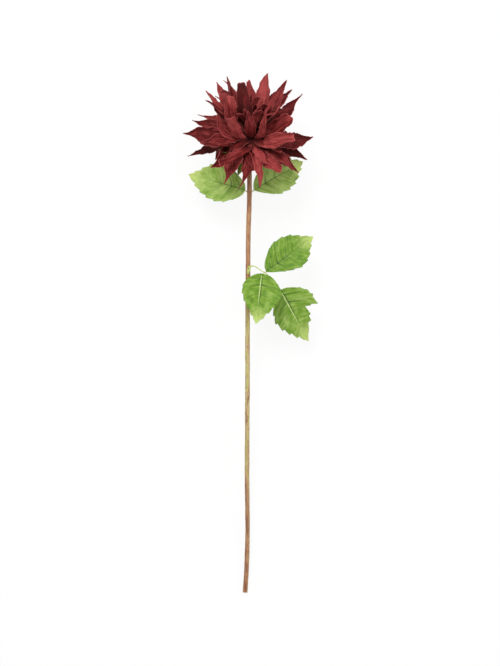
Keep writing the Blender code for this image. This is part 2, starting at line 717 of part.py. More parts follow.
def finished_points(objects):
    """Each finished piece's points in place, with its volume's centre and mass."""
    depsgraph = bpy.context.evaluated_depsgraph_get()
    points, moment, mass = [], Vector((0, 0, 0)), 0.0
    for piece in objects:
        whole = bmesh.new()
        whole.from_mesh(piece.evaluated_get(depsgraph).data)
        whole.transform(piece.matrix_world)
        bmesh.ops.triangulate(whole, faces=whole.faces)
        points += [v.co.copy() for v in whole.verts]
        density = DENSITY[piece.data.materials[0].name]
        for face in whole.faces:
            a, b, c = (v.co for v in face.verts)
            part = a.dot(b.cross(c)) / 6 * density
            moment += (a + b + c) / 4 * part
            mass += part
        whole.free()
    return points, moment / mass


def lay_down(flower):
    """Lays the flower on its back, as it comes to rest on three points, with its box on the ground."""
    flower.matrix_world = Matrix.Rotation(math.radians(-90), 4, "X")
    bpy.context.view_layer.update()
    pieces = [o for o in bpy.data.objects if o.type == "MESH" and not o.hide_render]
    points, balance = finished_points(pieces)
    hull = bmesh.new()
    for point in points:
        hull.verts.new(point)
    bmesh.ops.convex_hull(hull, input=hull.verts)
    hull.normal_update()
    down = min(
        (face.normal.copy() for face in hull.faces if rests_on(face, balance)),
        key=lambda normal: normal.z,
    )
    hull.free()
    settle = down.rotation_difference(-UP).to_matrix().to_4x4()
    settled = [settle @ point for point in points]
    low = [min(p[k] for p in settled) for k in range(3)]
    high = [max(p[k] for p in settled) for k in range(3)]
    middle = Vector(((low[0] + high[0]) / 2, (low[1] + high[1]) / 2, low[2]))
    flower.matrix_world = Matrix.Translation(-middle) @ settle @ flower.matrix_world


def rests_on(face, balance):
    """Whether the balance point stands over this face of the hull."""
    if face.calc_area() < LEAST_FACE:
        return False
    corners = [v.co for v in face.verts]
    for here, there in zip(corners, corners[1:] + corners[:1]):
        if (there - here).cross(balance - here).dot(face.normal) < 0:
            return False
    return True


def main():
    clear_scene()
    flower = bpy.data.objects.new("flower", None)
    bpy.context.scene.collection.objects.link(flower)
    add_stem(flower)
    add_core(flower)
    greens = [add_calyx(flower)] + add_top_leaves(flower)
    bulb = [core_rings(GLUE_GAP / 2)] + [bud_rings(number, GLUE_GAP) for number in range(BUD_PETALS)]
    add_petals(flower, [BVHTree.FromPolygons(*skin(rings)) for rings in bulb] + greens)
    add_twig(flower)
    lay_down(flower)


main()
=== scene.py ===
import math

import bmesh
import bpy
import numpy as np
from mathutils import Euler, Matrix, Vector, noise


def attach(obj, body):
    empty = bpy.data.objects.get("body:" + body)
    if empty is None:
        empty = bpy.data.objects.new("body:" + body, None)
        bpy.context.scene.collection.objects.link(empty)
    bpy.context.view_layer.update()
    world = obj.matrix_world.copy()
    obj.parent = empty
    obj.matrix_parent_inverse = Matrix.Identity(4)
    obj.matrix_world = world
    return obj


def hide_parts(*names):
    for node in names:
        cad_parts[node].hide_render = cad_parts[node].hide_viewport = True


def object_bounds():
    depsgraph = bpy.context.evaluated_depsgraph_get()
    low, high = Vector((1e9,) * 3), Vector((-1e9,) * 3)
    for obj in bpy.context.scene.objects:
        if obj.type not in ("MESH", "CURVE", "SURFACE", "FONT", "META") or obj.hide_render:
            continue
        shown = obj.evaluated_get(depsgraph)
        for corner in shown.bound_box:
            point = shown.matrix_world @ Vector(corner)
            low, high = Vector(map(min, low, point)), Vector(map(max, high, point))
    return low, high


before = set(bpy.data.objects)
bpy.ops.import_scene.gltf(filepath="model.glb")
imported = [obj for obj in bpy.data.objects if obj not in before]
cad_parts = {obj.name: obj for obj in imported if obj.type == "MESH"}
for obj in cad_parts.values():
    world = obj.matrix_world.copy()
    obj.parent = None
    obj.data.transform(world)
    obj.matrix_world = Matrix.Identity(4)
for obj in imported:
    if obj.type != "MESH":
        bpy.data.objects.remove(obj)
cadBox = [list(corner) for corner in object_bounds()]
mm = 0.001
mergeStep = 0.01 * mm
acrossPlaces = (-1, -0.5, 0, 0.5, 1)  # a CAD sheet's points from side to side, on each face
rowPoints = len(acrossPlaces)
middlePoint = rowPoints // 2
print("frame loaded:", len(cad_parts), "nodes")

# the photo's frame is 0.6785 m wide at the stem, and looks square onto the standing flower's front
photo = {"wide": 0.6785, "turn": (6.42, -2.40, -0.13), "target": (0.0014, 0.0014, 0.0427), "lens": 150,
         "sensor": 36, "distance": 2.8}
view = np.array(Euler([math.radians(angle) for angle in photo["turn"]]).to_matrix())
toViewer = view[:, 2]


# Reading the sheets of paper from the frame

def nodePoints(nodeName):
    return np.array([v.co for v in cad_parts[nodeName].data.vertices])


def ringOrder(level):
    # walks round the points of one row, over the front and back of the sheet
    inLevel = set(level)
    ring = [level[0]]
    while len(ring) < len(level):
        around = (edge.other_vert(ring[-1]) for edge in ring[-1].link_edges)
        ring.append(next(vert for vert in around if vert in inLevel and vert not in ring))
    return [np.array(vert.co) for vert in ring]


def middleRow(ring):
    # the ring crosses the paper's edge at its two shortest steps, a row's points apart
    steps = [np.linalg.norm(ring[k] - ring[(k + 1) % len(ring)]) for k in range(len(ring))]
    cut = min(range(rowPoints), key=lambda k: steps[k] + steps[k + rowPoints])
    ring = ring[cut + 1:] + ring[:cut + 1]
    return np.array([(ring[k] + ring[-1 - k]) / 2 for k in range(rowPoints)])


def endRow(level, chord):
    # at the pinched foot and the tip the points pair up by their place across
    spots = sorted((np.array(v.co) for v in level), key=lambda spot: spot @ chord)
    return np.array([(spots[k] + spots[k + 1]) / 2 for k in range(0, 2 * rowPoints, 2)])


def sheetRows(nodeName, footPlace):
    # the middle points of a sheet, in rows from its foot to its tip
    solid = bmesh.new()
    solid.from_mesh(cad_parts[nodeName].data)
    bmesh.ops.remove_doubles(solid, verts=solid.verts, dist=mergeStep)
    byNearness = sorted(solid.verts, key=lambda v: (v.co - Vector(footPlace)).length)
    levels = [byNearness[:2 * rowPoints]]
    seen = set(levels[0])
    while len(seen) < len(solid.verts):
        fresh = []
        for vert in levels[-1]:
            for edge in vert.link_edges:
                other = edge.other_vert(vert)
                if other not in seen:
                    seen.add(other)
                    fresh.append(other)
        levels.append(fresh)
    rows = [middleRow(ringOrder(level)) for level in levels[1:-1]]
    for k in range(1, len(rows)):
        if (rows[k][-1] - rows[k][0]) @ (rows[k - 1][-1] - rows[k - 1][0]) < 0:
            rows[k] = rows[k][::-1]
    first = endRow(levels[0], rows[0][-1] - rows[0][0])
    last = endRow(levels[-1], rows[-1][-1] - rows[-1][0])
    rows = [first] + rows + [last]
    solid.free()
    # the hollow side of the foot comes out on top
    across, along = rows[1][-1] - rows[1][0], rows[2][middlePoint] - rows[0][middlePoint]
    sag = (rows[1][0] + rows[1][-1]) / 2 - rows[1][middlePoint]
    if np.cross(along, across) @ sag < 0:
        rows = [row[::-1] for row in rows]
    return np.array(rows)


def refine(points, at):
    # smooth curves through rows of points, read at the given row numbers
    at = np.clip(at, 0, len(points) - 1)
    cell = np.minimum(at.astype(int), len(points) - 2)
    t = (at - cell).reshape((-1,) + (1,) * (points.ndim - 1))
    slope = np.gradient(points, axis=0)
    a, b, sa, sb = points[cell], points[cell + 1], slope[cell], slope[cell + 1]
    return ((2 * t**3 - 3 * t**2 + 1) * a + (t**3 - 2 * t**2 + t) * sa
            + (3 * t**2 - 2 * t**3) * b + (t**3 - t**2) * sb)


def fineSheet(rows, shape):
    lengthwise = refine(rows, np.linspace(0, len(rows) - 1, shape["alongCount"]))
    crosswise = refine(lengthwise.transpose(1, 0, 2), np.linspace(0, rowPoints - 1, shape["acrossCount"]))
    return crosswise.transpose(1, 0, 2)


def gridPlaces(shape):
    # how far along a sheet, from 0 to 1, and how far across it, from -1 to 1
    return np.meshgrid(np.linspace(0, 1, shape["alongCount"]), np.linspace(-1, 1, shape["acrossCount"]),
                       indexing="ij")


def sheetNormals(sheet):
    along, across = np.gradient(sheet, axis=0), np.gradient(sheet, axis=1)
    normals = np.cross(along, across)
    return normals / np.maximum(np.linalg.norm(normals, axis=2, keepdims=True), 1e-12)


def noiseField(x, y, seed):
    # smooth noise over a grid of places, with each seed on a level of its own
    level = seed * 7.31
    field = np.empty(x.shape)
    for index in np.ndindex(x.shape):
        field[index] = noise.noise(Vector((x[index], y[index], level)))
    return field


# Making pieces

def addSheet(name, sheet, thickness, marks=None):
    # a flat grid, laid over the sheet's points and given its thickness
    alongCount, acrossCount = sheet.shape[:2]
    bpy.ops.mesh.primitive_grid_add(x_subdivisions=acrossCount - 1, y_subdivisions=alongCount - 1, size=1)
    piece = bpy.context.object
    piece.name = piece.data.name = name
    flat = np.array([v.co for v in piece.data.vertices])
    row = np.rint((flat[:, 1] + 0.5) * (alongCount - 1)).astype(int)
    column = np.rint((flat[:, 0] + 0.5) * (acrossCount - 1)).astype(int)
    laid = sheet[row, column]
    laid[:, 2] = np.maximum(laid[:, 2], thickness)  # nothing sinks into the floor
    piece.data.vertices.foreach_set("co", laid.ravel())
    for markName, values in (marks or {}).items():
        layer = piece.data.attributes.new(markName, "FLOAT", "POINT")
        layer.data.foreach_set("value", values[row, column])
    piece.data.update()
    bpy.ops.object.modifier_add(type="SOLIDIFY")
    piece.modifiers[-1].thickness = thickness
    piece.modifiers[-1].offset = 0
    bpy.ops.object.modifier_apply(modifier=piece.modifiers[-1].name)
    bpy.ops.object.shade_smooth()
    return piece


def giveTone(piece, number, start=0.0):
    # one tone for the whole piece. The golden ratio keeps neighbours apart
    tone = (number * 0.618 + start) % 1.0
    layer = piece.data.attributes.new("tone", "FLOAT", "POINT")
    layer.data.foreach_set("value", [tone] * len(piece.data.vertices))


def dress(piece, material, slotName, *nodeNames):
    piece.data.materials.clear()
    piece.data.materials.append(material)
    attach(piece, "root")
    if nodeNames:
        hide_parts(*nodeNames)


# Materials

def startMaterial(name):
    material = bpy.data.materials.new(name)
    material.use_nodes = True
    tree = material.node_tree
    return material, tree, tree.nodes["Principled BSDF"]


def addNode(tree, kind, settings=None, links=None, **values):
    node = tree.nodes.new(kind)
    for key, value in (settings or {}).items():
        setattr(node, key, value)
    for key, value in values.items():
        node.inputs[key.replace("_", " ")].default_value = value
    for key, source in (links or {}).items():
        tree.links.new(source, node.inputs[key])
    return node


def feed(tree, socket, value):
    if isinstance(value, (int, float)):
        socket.default_value = value
    elif isinstance(value, str):
        socket.default_value = fromHex(value)
    elif value is not None:
        tree.links.new(value, socket)


def mathNode(tree, operation, a, b=None, clamp=False):
    node = addNode(tree, "ShaderNodeMath", {"operation": operation, "use_clamp": clamp})
    feed(tree, node.inputs[0], a)
    feed(tree, node.inputs[1], b)
    return node.outputs[0]


def plus(tree, a, b, clamp=False):
    return mathNode(tree, "ADD", a, b, clamp)


def minus(tree, a, b):
    return mathNode(tree, "SUBTRACT", a, b)


def times(tree, a, b, clamp=False):
    return mathNode(tree, "MULTIPLY", a, b, clamp)


def fromLine(tree, value, line):
    # how far a value is from a line
    return mathNode(tree, "ABSOLUTE", minus(tree, value, line))


def rise(tree, value, start, rate):
    # grows from 0 to 1 once the value passes the start
    return times(tree, minus(tree, value, start), rate, clamp=True)


def fall(tree, value, start, rate):
    # drops from the start to 0 as the value grows
    return mathNode(tree, "SUBTRACT", start, times(tree, value, rate), clamp=True)


def attribute(tree, name):
    return addNode(tree, "ShaderNodeAttribute", {"attribute_name": name}).outputs["Fac"]


def noiseNode(tree, place, scale, detail=3.0, roughness=0.55):
    node = addNode(tree, "ShaderNodeTexNoise", links={"Vector": place}, Scale=scale, Detail=detail,
                   Roughness=roughness)
    return node.outputs["Fac"]


def sheetPlace(tree):
    # how far across and along its sheet a place is, and a shift that gives each piece its own print
    place = addNode(tree, "ShaderNodeUVMap").outputs["UV"]
    split = addNode(tree, "ShaderNodeSeparateXYZ", links={"Vector": place})
    return split.outputs["X"], split.outputs["Y"], times(tree, attribute(tree, "tone"), 37.0)


def sheetNoise(tree, place, waves, detail, roughness):
    # noise with its own number of waves across and along the sheet
    across, along, shift = place
    spot = addNode(tree, "ShaderNodeCombineXYZ", links={
        "X": times(tree, across, waves[0]), "Y": times(tree, along, waves[1]), "Z": shift})
    return noiseNode(tree, spot.outputs[0], 1.0, detail, roughness)


def solidNoise(tree, place, waves, *finer):
    # noise with its own number of waves in a metre along each axis
    stretched = addNode(tree, "ShaderNodeMapping", links={"Vector": place}, Scale=waves).outputs[0]
    return noiseNode(tree, stretched, 1.0, *finer)


def fromHex(colour):
    # a colour as it is seen, made linear
    channels = [int(colour[k:k + 2], 16) / 255 for k in (1, 3, 5)]
    return [c / 12.92 if c <= 0.04045 else ((c + 0.055) / 1.055) ** 2.4 for c in channels] + [1.0]


def rampNode(tree, factor, places, colours):
    node = addNode(tree, "ShaderNodeValToRGB", links={"Fac": factor})
    ramp = node.color_ramp
    while len(ramp.elements) < len(places):
        ramp.elements.new(0.5)
    for element, place, colour in zip(ramp.elements, places, colours):
        element.position = place
        element.color = fromHex(colour)
    return node.outputs["Color"]


def mixNode(tree, factor, a, b):
    node = addNode(tree, "ShaderNodeMix", {"data_type": "RGBA"})
    for socketName, value in (("Factor", factor), ("A", a), ("B", b)):
        feed(tree, node.inputs[socketName], value)
    return node.outputs["Result"]


def finishPaper(tree, shader, colour, grain, look):
    tree.links.new(colour, shader.inputs["Base Color"])
    shader.inputs["Roughness"].default_value = look["roughness"]
    shader.inputs["Specular IOR Level"].default_value = look["specular"]
    bump = addNode(tree, "ShaderNodeBump", links={"Height": grain}, Distance=look["grain"])
    tree.links.new(bump.outputs["Normal"], shader.inputs["Normal"])


petalPaper = {
    "shades": ("#3a0807", "#661413", "#a64443"), "places": (0.37, 0.56, 0.8),
    "streaks": (17, 2.6), "mottles": (3.2, 6.5), "fibres": (30.6, 9.0),  # waves across and along a petal
    "streakShare": 0.8, "mottleShare": 0.36, "toneShare": 0.32, "ridgeShare": 0.2,
    # edge: the colour of a painted highlight along a petal's sides and end
    "edge": "#b85a57", "edgeShare": 0.65, "sideEdge": (0.448, 26.0), "endEdge": (0.972, 45.0),
    # heel: the colour of painted shade at a petal's foot
    "heel": "#240404", "heelShare": 0.85, "roughness": 0.72, "specular": 0.22, "grain": 0.16 * mm,
}


def petalMaterial():
    # dyed paper with long soft streaks. Its ridges are paler and its valleys darker, part wear and part
    # painted light and shade; a painted highlight runs along its edges, and painted shade darkens its heel by
    # the bulb
    material, tree, shader = startMaterial("petalPaper")
    look = petalPaper
    place = sheetPlace(tree)
    across, along = place[:2]
    streaks = sheetNoise(tree, place, look["streaks"], 4.0, 0.6)
    mottles = sheetNoise(tree, place, look["mottles"], 3.0, 0.6)
    dyed = plus(tree, times(tree, streaks, look["streakShare"]), times(tree, mottles, look["mottleShare"]))
    # each piece's tone: random on most, but where a habit gives it, partly painted light and shade
    toned = plus(tree, dyed, times(tree, minus(tree, attribute(tree, "tone"), 0.5), look["toneShare"]))
    # ridges paler and valleys darker: partly the paper's wear, partly painted light and shade
    worn = plus(tree, toned, times(tree, minus(tree, attribute(tree, "ridge"), 0.5), look["ridgeShare"]))
    body = rampNode(tree, worn, look["places"], look["shades"])
    # a painted highlight along the petal's sides and its end
    sideEdge = rise(tree, fromLine(tree, across, 0.5), *look["sideEdge"])
    edge = mathNode(tree, "MAXIMUM", sideEdge, rise(tree, along, *look["endEdge"]))
    highlighted = mixNode(tree, times(tree, edge, look["edgeShare"]), body, look["edge"])
    # painted shade over the petal's foot, as far as its shade mark reaches
    heel = times(tree, attribute(tree, "shade"), look["heelShare"])
    fibres = sheetNoise(tree, place, look["fibres"], 5.0, 0.65)
    finishPaper(tree, shader, mixNode(tree, heel, highlighted, look["heel"]), fibres, look)
    return material


leafPaper = {
    "shades": ("#447013", "#709629", "#a3bd62"), "places": (0.38, 0.56, 0.78),
    "stripes": (3.0, 34.0), "mottles": (6.0, 9.0), "printShare": 0.55,  # waves across and along a leaf
    "tip": "#cadb80", "tipRise": (0.74, 3.4), "tipWander": 0.9,
    # vein: the colour of the printed side veins, also used for painted shade in the midrib's groove
    "vein": "#31541c", "veins": 6, "veinLine": (1.1, 9.0), "veinToSide": (1.2, 3.6), "veinToTip": (2.0, 2.6),
    "veinWorn": (0.2, 3.6), "ribEnd": 0.86, "ribFade": 4.0, "darkRib": (1.15, 68.0), "ribStep": 0.022,
    "paleVein": "#cddc90", "paleRib": (1.2, 62.0), "paleRibAt": 0.49,
    "roughness": 0.62, "specular": 0.35, "grain": 0.12 * mm,
}


def leafMaterial(name, lightness, paleRib):
    # printed paper, striped along its side veins, with painted shade along its midrib's groove. Where paleRib
    # is 1, a pale line runs beside the midrib
    material, tree, shader = startMaterial(name)
    look = leafPaper
    place = sheetPlace(tree)
    across, along = place[:2]
    stripes = sheetNoise(tree, place, look["stripes"], 4.0, 0.6)
    mottles = sheetNoise(tree, place, look["mottles"], 3.0, 0.55)
    printed = plus(tree, times(tree, stripes, look["printShare"]), times(tree, mottles, look["printShare"]))
    body = rampNode(tree, plus(tree, printed, lightness), look["places"], look["shades"])
    # towards the tip the print turns yellow
    tipAmount = rise(tree, along, *look["tipRise"])
    wander = times(tree, minus(tree, mottles, 0.5), look["tipWander"])
    yellow = plus(tree, tipAmount, times(tree, wander, tipAmount), clamp=True)
    tipped = mixNode(tree, yellow, body, look["tip"])
    # side veins fade to the sides and the tip
    waves = fromLine(tree, mathNode(tree, "FRACT", times(tree, along, look["veins"])), 0.5)
    toSide = fall(tree, fromLine(tree, across, 0.5), *look["veinToSide"])
    lines = times(tree, fall(tree, waves, *look["veinLine"]), toSide)
    worn = times(tree, rise(tree, mottles, *look["veinWorn"]), fall(tree, along, *look["veinToTip"]))
    veined = mixNode(tree, times(tree, lines, worn, clamp=True), tipped, look["vein"])
    # painted shade in the midrib's groove, in the vein colour and fading towards the tip; it moves over where
    # the pale line runs beside it
    ribFade = times(tree, minus(tree, look["ribEnd"], along), look["ribFade"], clamp=True)
    dark = fall(tree, fromLine(tree, across, 0.5 + look["ribStep"] * paleRib), *look["darkRib"])
    pale = fall(tree, fromLine(tree, across, look["paleRibAt"]), *look["paleRib"])
    grooveShaded = mixNode(tree, times(tree, dark, ribFade), veined, look["vein"])
    paleAmount = times(tree, times(tree, pale, ribFade), paleRib)
    finishPaper(tree, shader, mixNode(tree, paleAmount, grooveShaded, look["paleVein"]), stripes, look)
    return material


stemPaper = {
    "rosy": ("#80513a", "#ae7c58", "#cab080"), "rosyPlaces": (0.40, 0.54, 0.68),
    "green": ("#80513a", "#cab080", "#b4b76a"), "greenPlaces": (0.36, 0.48, 0.6),
    "streaks": (230, 20, 230), "blotches": (130, 48, 130), "specks": (520, 210, 520),  # waves in a metre
    "streakShare": 0.6, "blotchShare": 0.45, "speckRise": (0.5, 6.0), "speckShare": 0.5,
    # how green it is from the cut end up
    "band": ("#303030", "#909090", "#ffffff", "#ffffff", "#181818"),
    "bandPlaces": (0.08, 0.2, 0.36, 0.5, 0.6),
    "roughness": 0.55, "specular": 0.35, "grain": 0.3 * mm,
}


def stemMaterial():
    # rolled paper with long painted streaks, rosy at both ends and yellow-green in the middle
    material, tree, shader = startMaterial("stemPaper")
    look = stemPaper
    place = addNode(tree, "ShaderNodeTexCoord").outputs["Object"]
    split = addNode(tree, "ShaderNodeSeparateXYZ", links={"Vector": place})
    streaks = solidNoise(tree, place, look["streaks"], 4.0, 0.6)
    blotches = solidNoise(tree, place, look["blotches"], 3.0, 0.6)
    blotched = times(tree, blotches, look["blotchShare"])
    painted = plus(tree, times(tree, streaks, look["streakShare"]), blotched)
    rosy = rampNode(tree, painted, look["rosyPlaces"], look["rosy"])
    green = rampNode(tree, streaks, look["greenPlaces"], look["green"])
    level = addNode(tree, "ShaderNodeMapRange", links={"Value": split.outputs["Y"]},
                    From_Min=cadBox[0][1], From_Max=cadBox[1][1]).outputs[0]
    banded = mixNode(tree, rampNode(tree, level, look["bandPlaces"], look["band"]), rosy, green)
    specks = rise(tree, solidNoise(tree, place, look["specks"]), *look["speckRise"])
    coloured = mixNode(tree, times(tree, specks, look["speckShare"]), banded, look["rosy"][0])
    finishPaper(tree, shader, coloured, streaks, look)
    return material


def plainMaterial(name, colours, scale, roughness, metallic=0.0):
    # two close shades in soft clouds
    material, tree, shader = startMaterial(name)
    place = addNode(tree, "ShaderNodeTexCoord").outputs["Object"]
    clouds = noiseNode(tree, place, scale, 4.0, 0.6)
    shader.inputs["Metallic"].default_value = metallic
    finishPaper(tree, shader, rampNode(tree, clouds, (0.35, 0.65), colours), clouds,
                {"roughness": roughness, "specular": 0.5, "grain": 0.05 * mm})
    return material


petalLook = petalMaterial()
# each leaf's print: how much lighter it is, and whether its midrib has a pale line
leafLooks = {name: leafMaterial(name + "Print", lightness, paleRib) for name, (lightness, paleRib) in {
    "leaf_left": (0.15, 0.0), "leaf_right": (0.2, 0.0), "leaflet_upper": (-0.01, 0.0),
    "leaflet_front": (0.0, 1.0), "leaflet_lower": (0.06, 1.0)}.items()}
stemLook = stemMaterial()
coreLook = plainMaterial("corePaper", ("#2a070a", "#4a1015"), 300, 0.85)
calyxLook = plainMaterial("calyxPaper", ("#5c8427", "#9db956"), 140, 0.65)
wireLook = plainMaterial("greenWire", ("#a9b85a", "#c9d27e"), 260, 0.5)
steelLook = plainMaterial("steelWire", ("#8c8c8c", "#a6a6a6"), 900, 0.35, 1.0)
print("materials made")


# Petals

petal = {
    "alongCount": 90, "acrossCount": 29, "thickness": 0.3 * mm,
    "heelSpread": 1.1, "heelEnd": 0.4,  # the foot is gathered from wider paper
    "pinch": 0.34, "pinchFrom": 0.6, "pinchTo": 0.95, "bluntEnd": 0.85, "bluntFrom": 0.4, "bluntRound": 0.04,
    "tears": ((5.5, 1.0), (15, 0.6), (36, 0.35)),  # waves along a side and their share
    "ragged": 0.34, "smoothest": 0.4, "leastRagged": 0.62, "leastSpan": 1.5 * mm,
    "trimmed": 0.02, "trimDepth": 0.035, "trimWaves": 2.2, "mostTrimmed": 0.4,  # as shares of the length
    "foldStep": 0.12, "foldLift": 0.9 * mm, "faceRows": 4,
    # folds: how far apart they are across and along, and how high
    "sway": (24 * mm, 26 * mm, 2.6 * mm), "crumple": (9 * mm, 16 * mm, 1.5 * mm),
    "crinkle": (2.6 * mm, 7 * mm, 0.4 * mm), "ruffleLong": 8 * mm, "ruffle": 2.2 * mm,
    "pleatWaves": (2.1, 0.9), "pleatWander": (1.4, 0.5), "pleat": 1.9 * mm,
    "fullWidth": 28 * mm,  # narrower petals have lower folds
    "curl": 24, "hook": 13, "twist": 32, "bendFrom": 0.6, "mostSteered": 60, "bluntBend": 0.4,
    # how far along each kind of petal the painted shade at its foot reaches
    "shaded": {"skirt": 0.42, "tray": 0.42, "bowl": 0.42, "crown": 0.6, "heart": 0.78, "inner": 0.5},
}
# these keep a petal's kinds of noise apart, and the petals from one another
seeds = {"petals": 4100, "inner": 100, "side": 5.3, "tears": (0.19, 0.23, 0.27), "trim": 0.29, "sway": 0.31,
         "wander": 0.37, "pleat": 0.41, "crumple": 0.47, "crinkle": 0.53, "ruffle": 0.59, "warp": 0.61}
# what single petals do. face: how far one rolls to the front. wide, rough: times the usual. bow: mm right
# and up in its middle. pinch, pinchFrom: how narrow its tip gets, and from where. blunt, end, round: a broad
# end, its width and its corners. fold: where a side turns over. curl, hook, twist: (from, degrees). tone: 0
# is dark; a given tone is partly painted light and shade, high for petals that stand lit and low for those in
# shade
petalHabits = {
    "skirt_01": {"face": 0.5},
    "skirt_02": {"wide": 1.3},
    "skirt_03": {"wide": 1.6, "bow": (4, 0), "pinch": 0.72, "pinchFrom": 0.4, "rough": 0.6, "tone": 0.5},
    "skirt_04": {"wide": 1.35, "bow": (14, 2), "pinch": 0.8, "pinchFrom": 0.45, "rough": 0.6, "tone": 0.35},
    "skirt_05": {"wide": 1.3, "bow": (4, 0), "pinch": 0.45, "pinchFrom": 0.4, "curl": (0.75, 30),
                 "tone": 0.8},
    "skirt_06": {"face": 0.9, "wide": 0.9, "blunt": True, "end": 0.7, "rough": 0.4, "tone": 0.9},
    "skirt_07": {"face": 0.5, "wide": 1.2, "bow": (1, 1)},
    "skirt_08": {"face": 0.7, "wide": 1.2},
    "skirt_09": {"face": 0.7},
    "skirt_10": {"face": 0.6},
    "tray_01": {"wide": 1.25, "bow": (0, 2), "rough": 0.8},
    "tray_02": {"face": 0.4, "wide": 1.1, "fold": 0.62},
    "tray_03": {"face": 0.6, "wide": 1.0, "blunt": True, "end": 0.7, "fold": 0.7, "tone": 0.4},
    "tray_04": {"face": 0.5, "wide": 1.0, "blunt": True, "end": 0.6, "rough": 0.6, "twist": (0.6, 0),
                 "tone": 0.8},
    "tray_05": {"wide": 1.05},
    "bowl_01": {"wide": 1.05, "bow": (0, 3), "curl": (0.6, -40), "pinch": 0.5, "pinchFrom": 0.45,
                 "tone": 0.25},
    "bowl_02": {"wide": 0.8, "bow": (0, 8), "curl": (0.6, -40), "pinch": 0.6, "pinchFrom": 0.3, "tone": 0.6},
    "bowl_03": {"face": 0.9, "wide": 0.95, "rough": 0.35, "pinch": 0.5, "tone": 0.85},
    "bowl_04": {"face": 1.0, "wide": 0.76, "blunt": True, "end": 1.0, "rough": 0.3, "curl": (0.6, 6),
                 "hook": (0.6, 0), "twist": (0.6, 0), "tone": 1.0},
    "bowl_05": {"face": 1.0, "wide": 0.9, "pinch": 0.1, "rough": 0.25, "twist": (0.6, 4), "tone": 0.4},
    "bowl_06": {"face": 0.9, "wide": 0.84, "fold": 0.6, "rough": 0.3, "tone": 0.8},
    "bowl_07": {"face": 0.9, "wide": 0.95, "blunt": True, "rough": 0.3, "twist": (0.6, 0), "tone": 0.6},
    "bowl_08": {"wide": 0.85, "hook": (0.6, -16), "pinch": 0.5, "tone": 0.3},
    "crown_01": {"wide": 0.8},
    "crown_02": {"face": 0.95, "wide": 1.0, "bow": (-3, 0), "blunt": True, "end": 0.9, "round": 0.14,
                 "rough": 0.7, "curl": (0.8, -45), "tone": 0.6},
    "crown_03": {"face": 0.8, "fold": 0.6, "wide": 0.85},
    "crown_04": {"face": 0.5, "wide": 0.9},
    "heart_03": {"wide": 1.1, "blunt": True, "end": 0.75, "round": 0.16, "tone": 0.0, "rough": 0.5},
    "heart_04": {"wide": 0.8, "blunt": True, "end": 0.6, "round": 0.12, "bow": (4, 0), "tone": 1.0,
                 "rough": 0.5},
    "heart_05": {"face": 0.9, "wide": 0.9, "pinch": 0.1, "rough": 0.6, "hook": (0.6, 0), "twist": (0.6, 0),
                 "tone": 0.9},
    "heart_06": {"wide": 0.75, "pinch": 0.0, "rough": 0.6, "tone": 0.5},
}
# the small petals that fill the middle: where each tip stands, in mm right, up and forward of the head's
# middle, its width in mm and its habit. A level one doesn't rise from the core first. Their given tones are
# partly painted light and shade
innerPetals = [
    ((-35, 89, 6), 9, {}), ((-34, 80, 24), 12, {"blunt": True, "curl": (0.72, -70)}),
    ((3, 71, 30), 9, {}), ((-1, 60, 26), 9, {}),
    ((11.5, 67, 44), 11, {"blunt": True, "curl": (0.6, 10), "tone": 0.9}),
    ((20, 57, 54), 15, {"blunt": True, "bow": (4, -2), "curl": (0.6, 10), "tone": 0.9}),
    ((33, 60, 54), 12, {"bow": (9, -5), "tone": 0.8}),
    ((43.5, 61, 52), 14, {"bow": (11, -7), "fold": 0.4, "tone": 1.0}),
    ((53, 67, 26), 16, {"bow": (9, -5), "tone": 0.6}), ((-16, 43.5, 56), 9, {"tone": 0.7}),
    ((-7, 49.5, 58), 11, {"tone": 1.0}), ((-59, 62, 18), 14, {"bow": (-6, -4)}),
    ((-50, 56, 27), 13, {"bow": (-7, -4), "tone": 0.7}),
    ((-37, 52, 37), 13, {"bow": (-6, -3), "fold": 0.6}),
    ((15, 48, 56), 11, {"blunt": True, "tone": 0.9}), ((9, 57, 42), 10, {"tone": 0.1}),
    ((-24, 46, 44), 9, {}), ((46, 50, 36), 12, {"fold": 0.6}), ((35, 44, 52), 12, {"tone": 0.8}),
    ((-12, 62, 28), 10, {}), ((22, 84, -12), 14, {}), ((-14, 84, -12), 14, {}),
    ((-46, 70, -22), 15, {}), ((46, 70, -24), 15, {}), ((4, 62, -46), 15, {}), ((-24, 52, -52), 15, {}),
    ((30, 48, -52), 15, {}), ((6, -34, 44), 18, {"level": True, "tone": 0.3}),
    ((-26, -10, 46), 17, {"level": True}), ((24, -24, 42), 17, {"level": True}),
    ((-44, 4, 38), 16, {"level": True}), ((44, -8, 36), 16, {"level": True}),
    ((45, 50, 10), 18, {"tone": 0.2}), ((25, -15, 32), 18, {"level": True, "tone": 0.1}),
]
inner = {
    "coreRadius": 11 * mm, "rise": 0.55, "lift": 0.5, "foot": 0.6, "footEnd": 3, "least": 0.06, "cup": 0.3,
    "stations": 8, "lean": 5 * mm, "swellFrom": 0.03, "swell": 0.93, "roundness": 0.8,
}
headTilt = math.radians(18)
headMiddle = np.array((-0.0006, 0.2536, 0.0710))
headUp = view @ np.array((0, math.cos(headTilt), math.sin(headTilt)))
coreMiddle = nodePoints("flower_core").mean(axis=0)
wireEnd = nodePoints("stem_wire")[np.argmax(nodePoints("stem_wire")[:, 1])]


def unit(vector):
    return vector / max(np.linalg.norm(vector), 1e-12)


def easeIn(values, start, end):
    t = np.clip((values - start) / (end - start), 0, 1)
    return t * t * (3 - 2 * t)


def fromHead(right, up, forward):
    # a place in mm from the head's middle, as the photo shows it
    return headMiddle + view @ (np.array((right, up, forward)) * mm)


def rowSpans(sheet):
    return np.linalg.norm(sheet[:, -1] - sheet[:, 0], axis=1)


def widen(sheet, factors):
    # stretches every row away from its middle
    middle = sheet[:, sheet.shape[1] // 2][:, None]
    return middle + (sheet - middle) * factors[:, :, None]


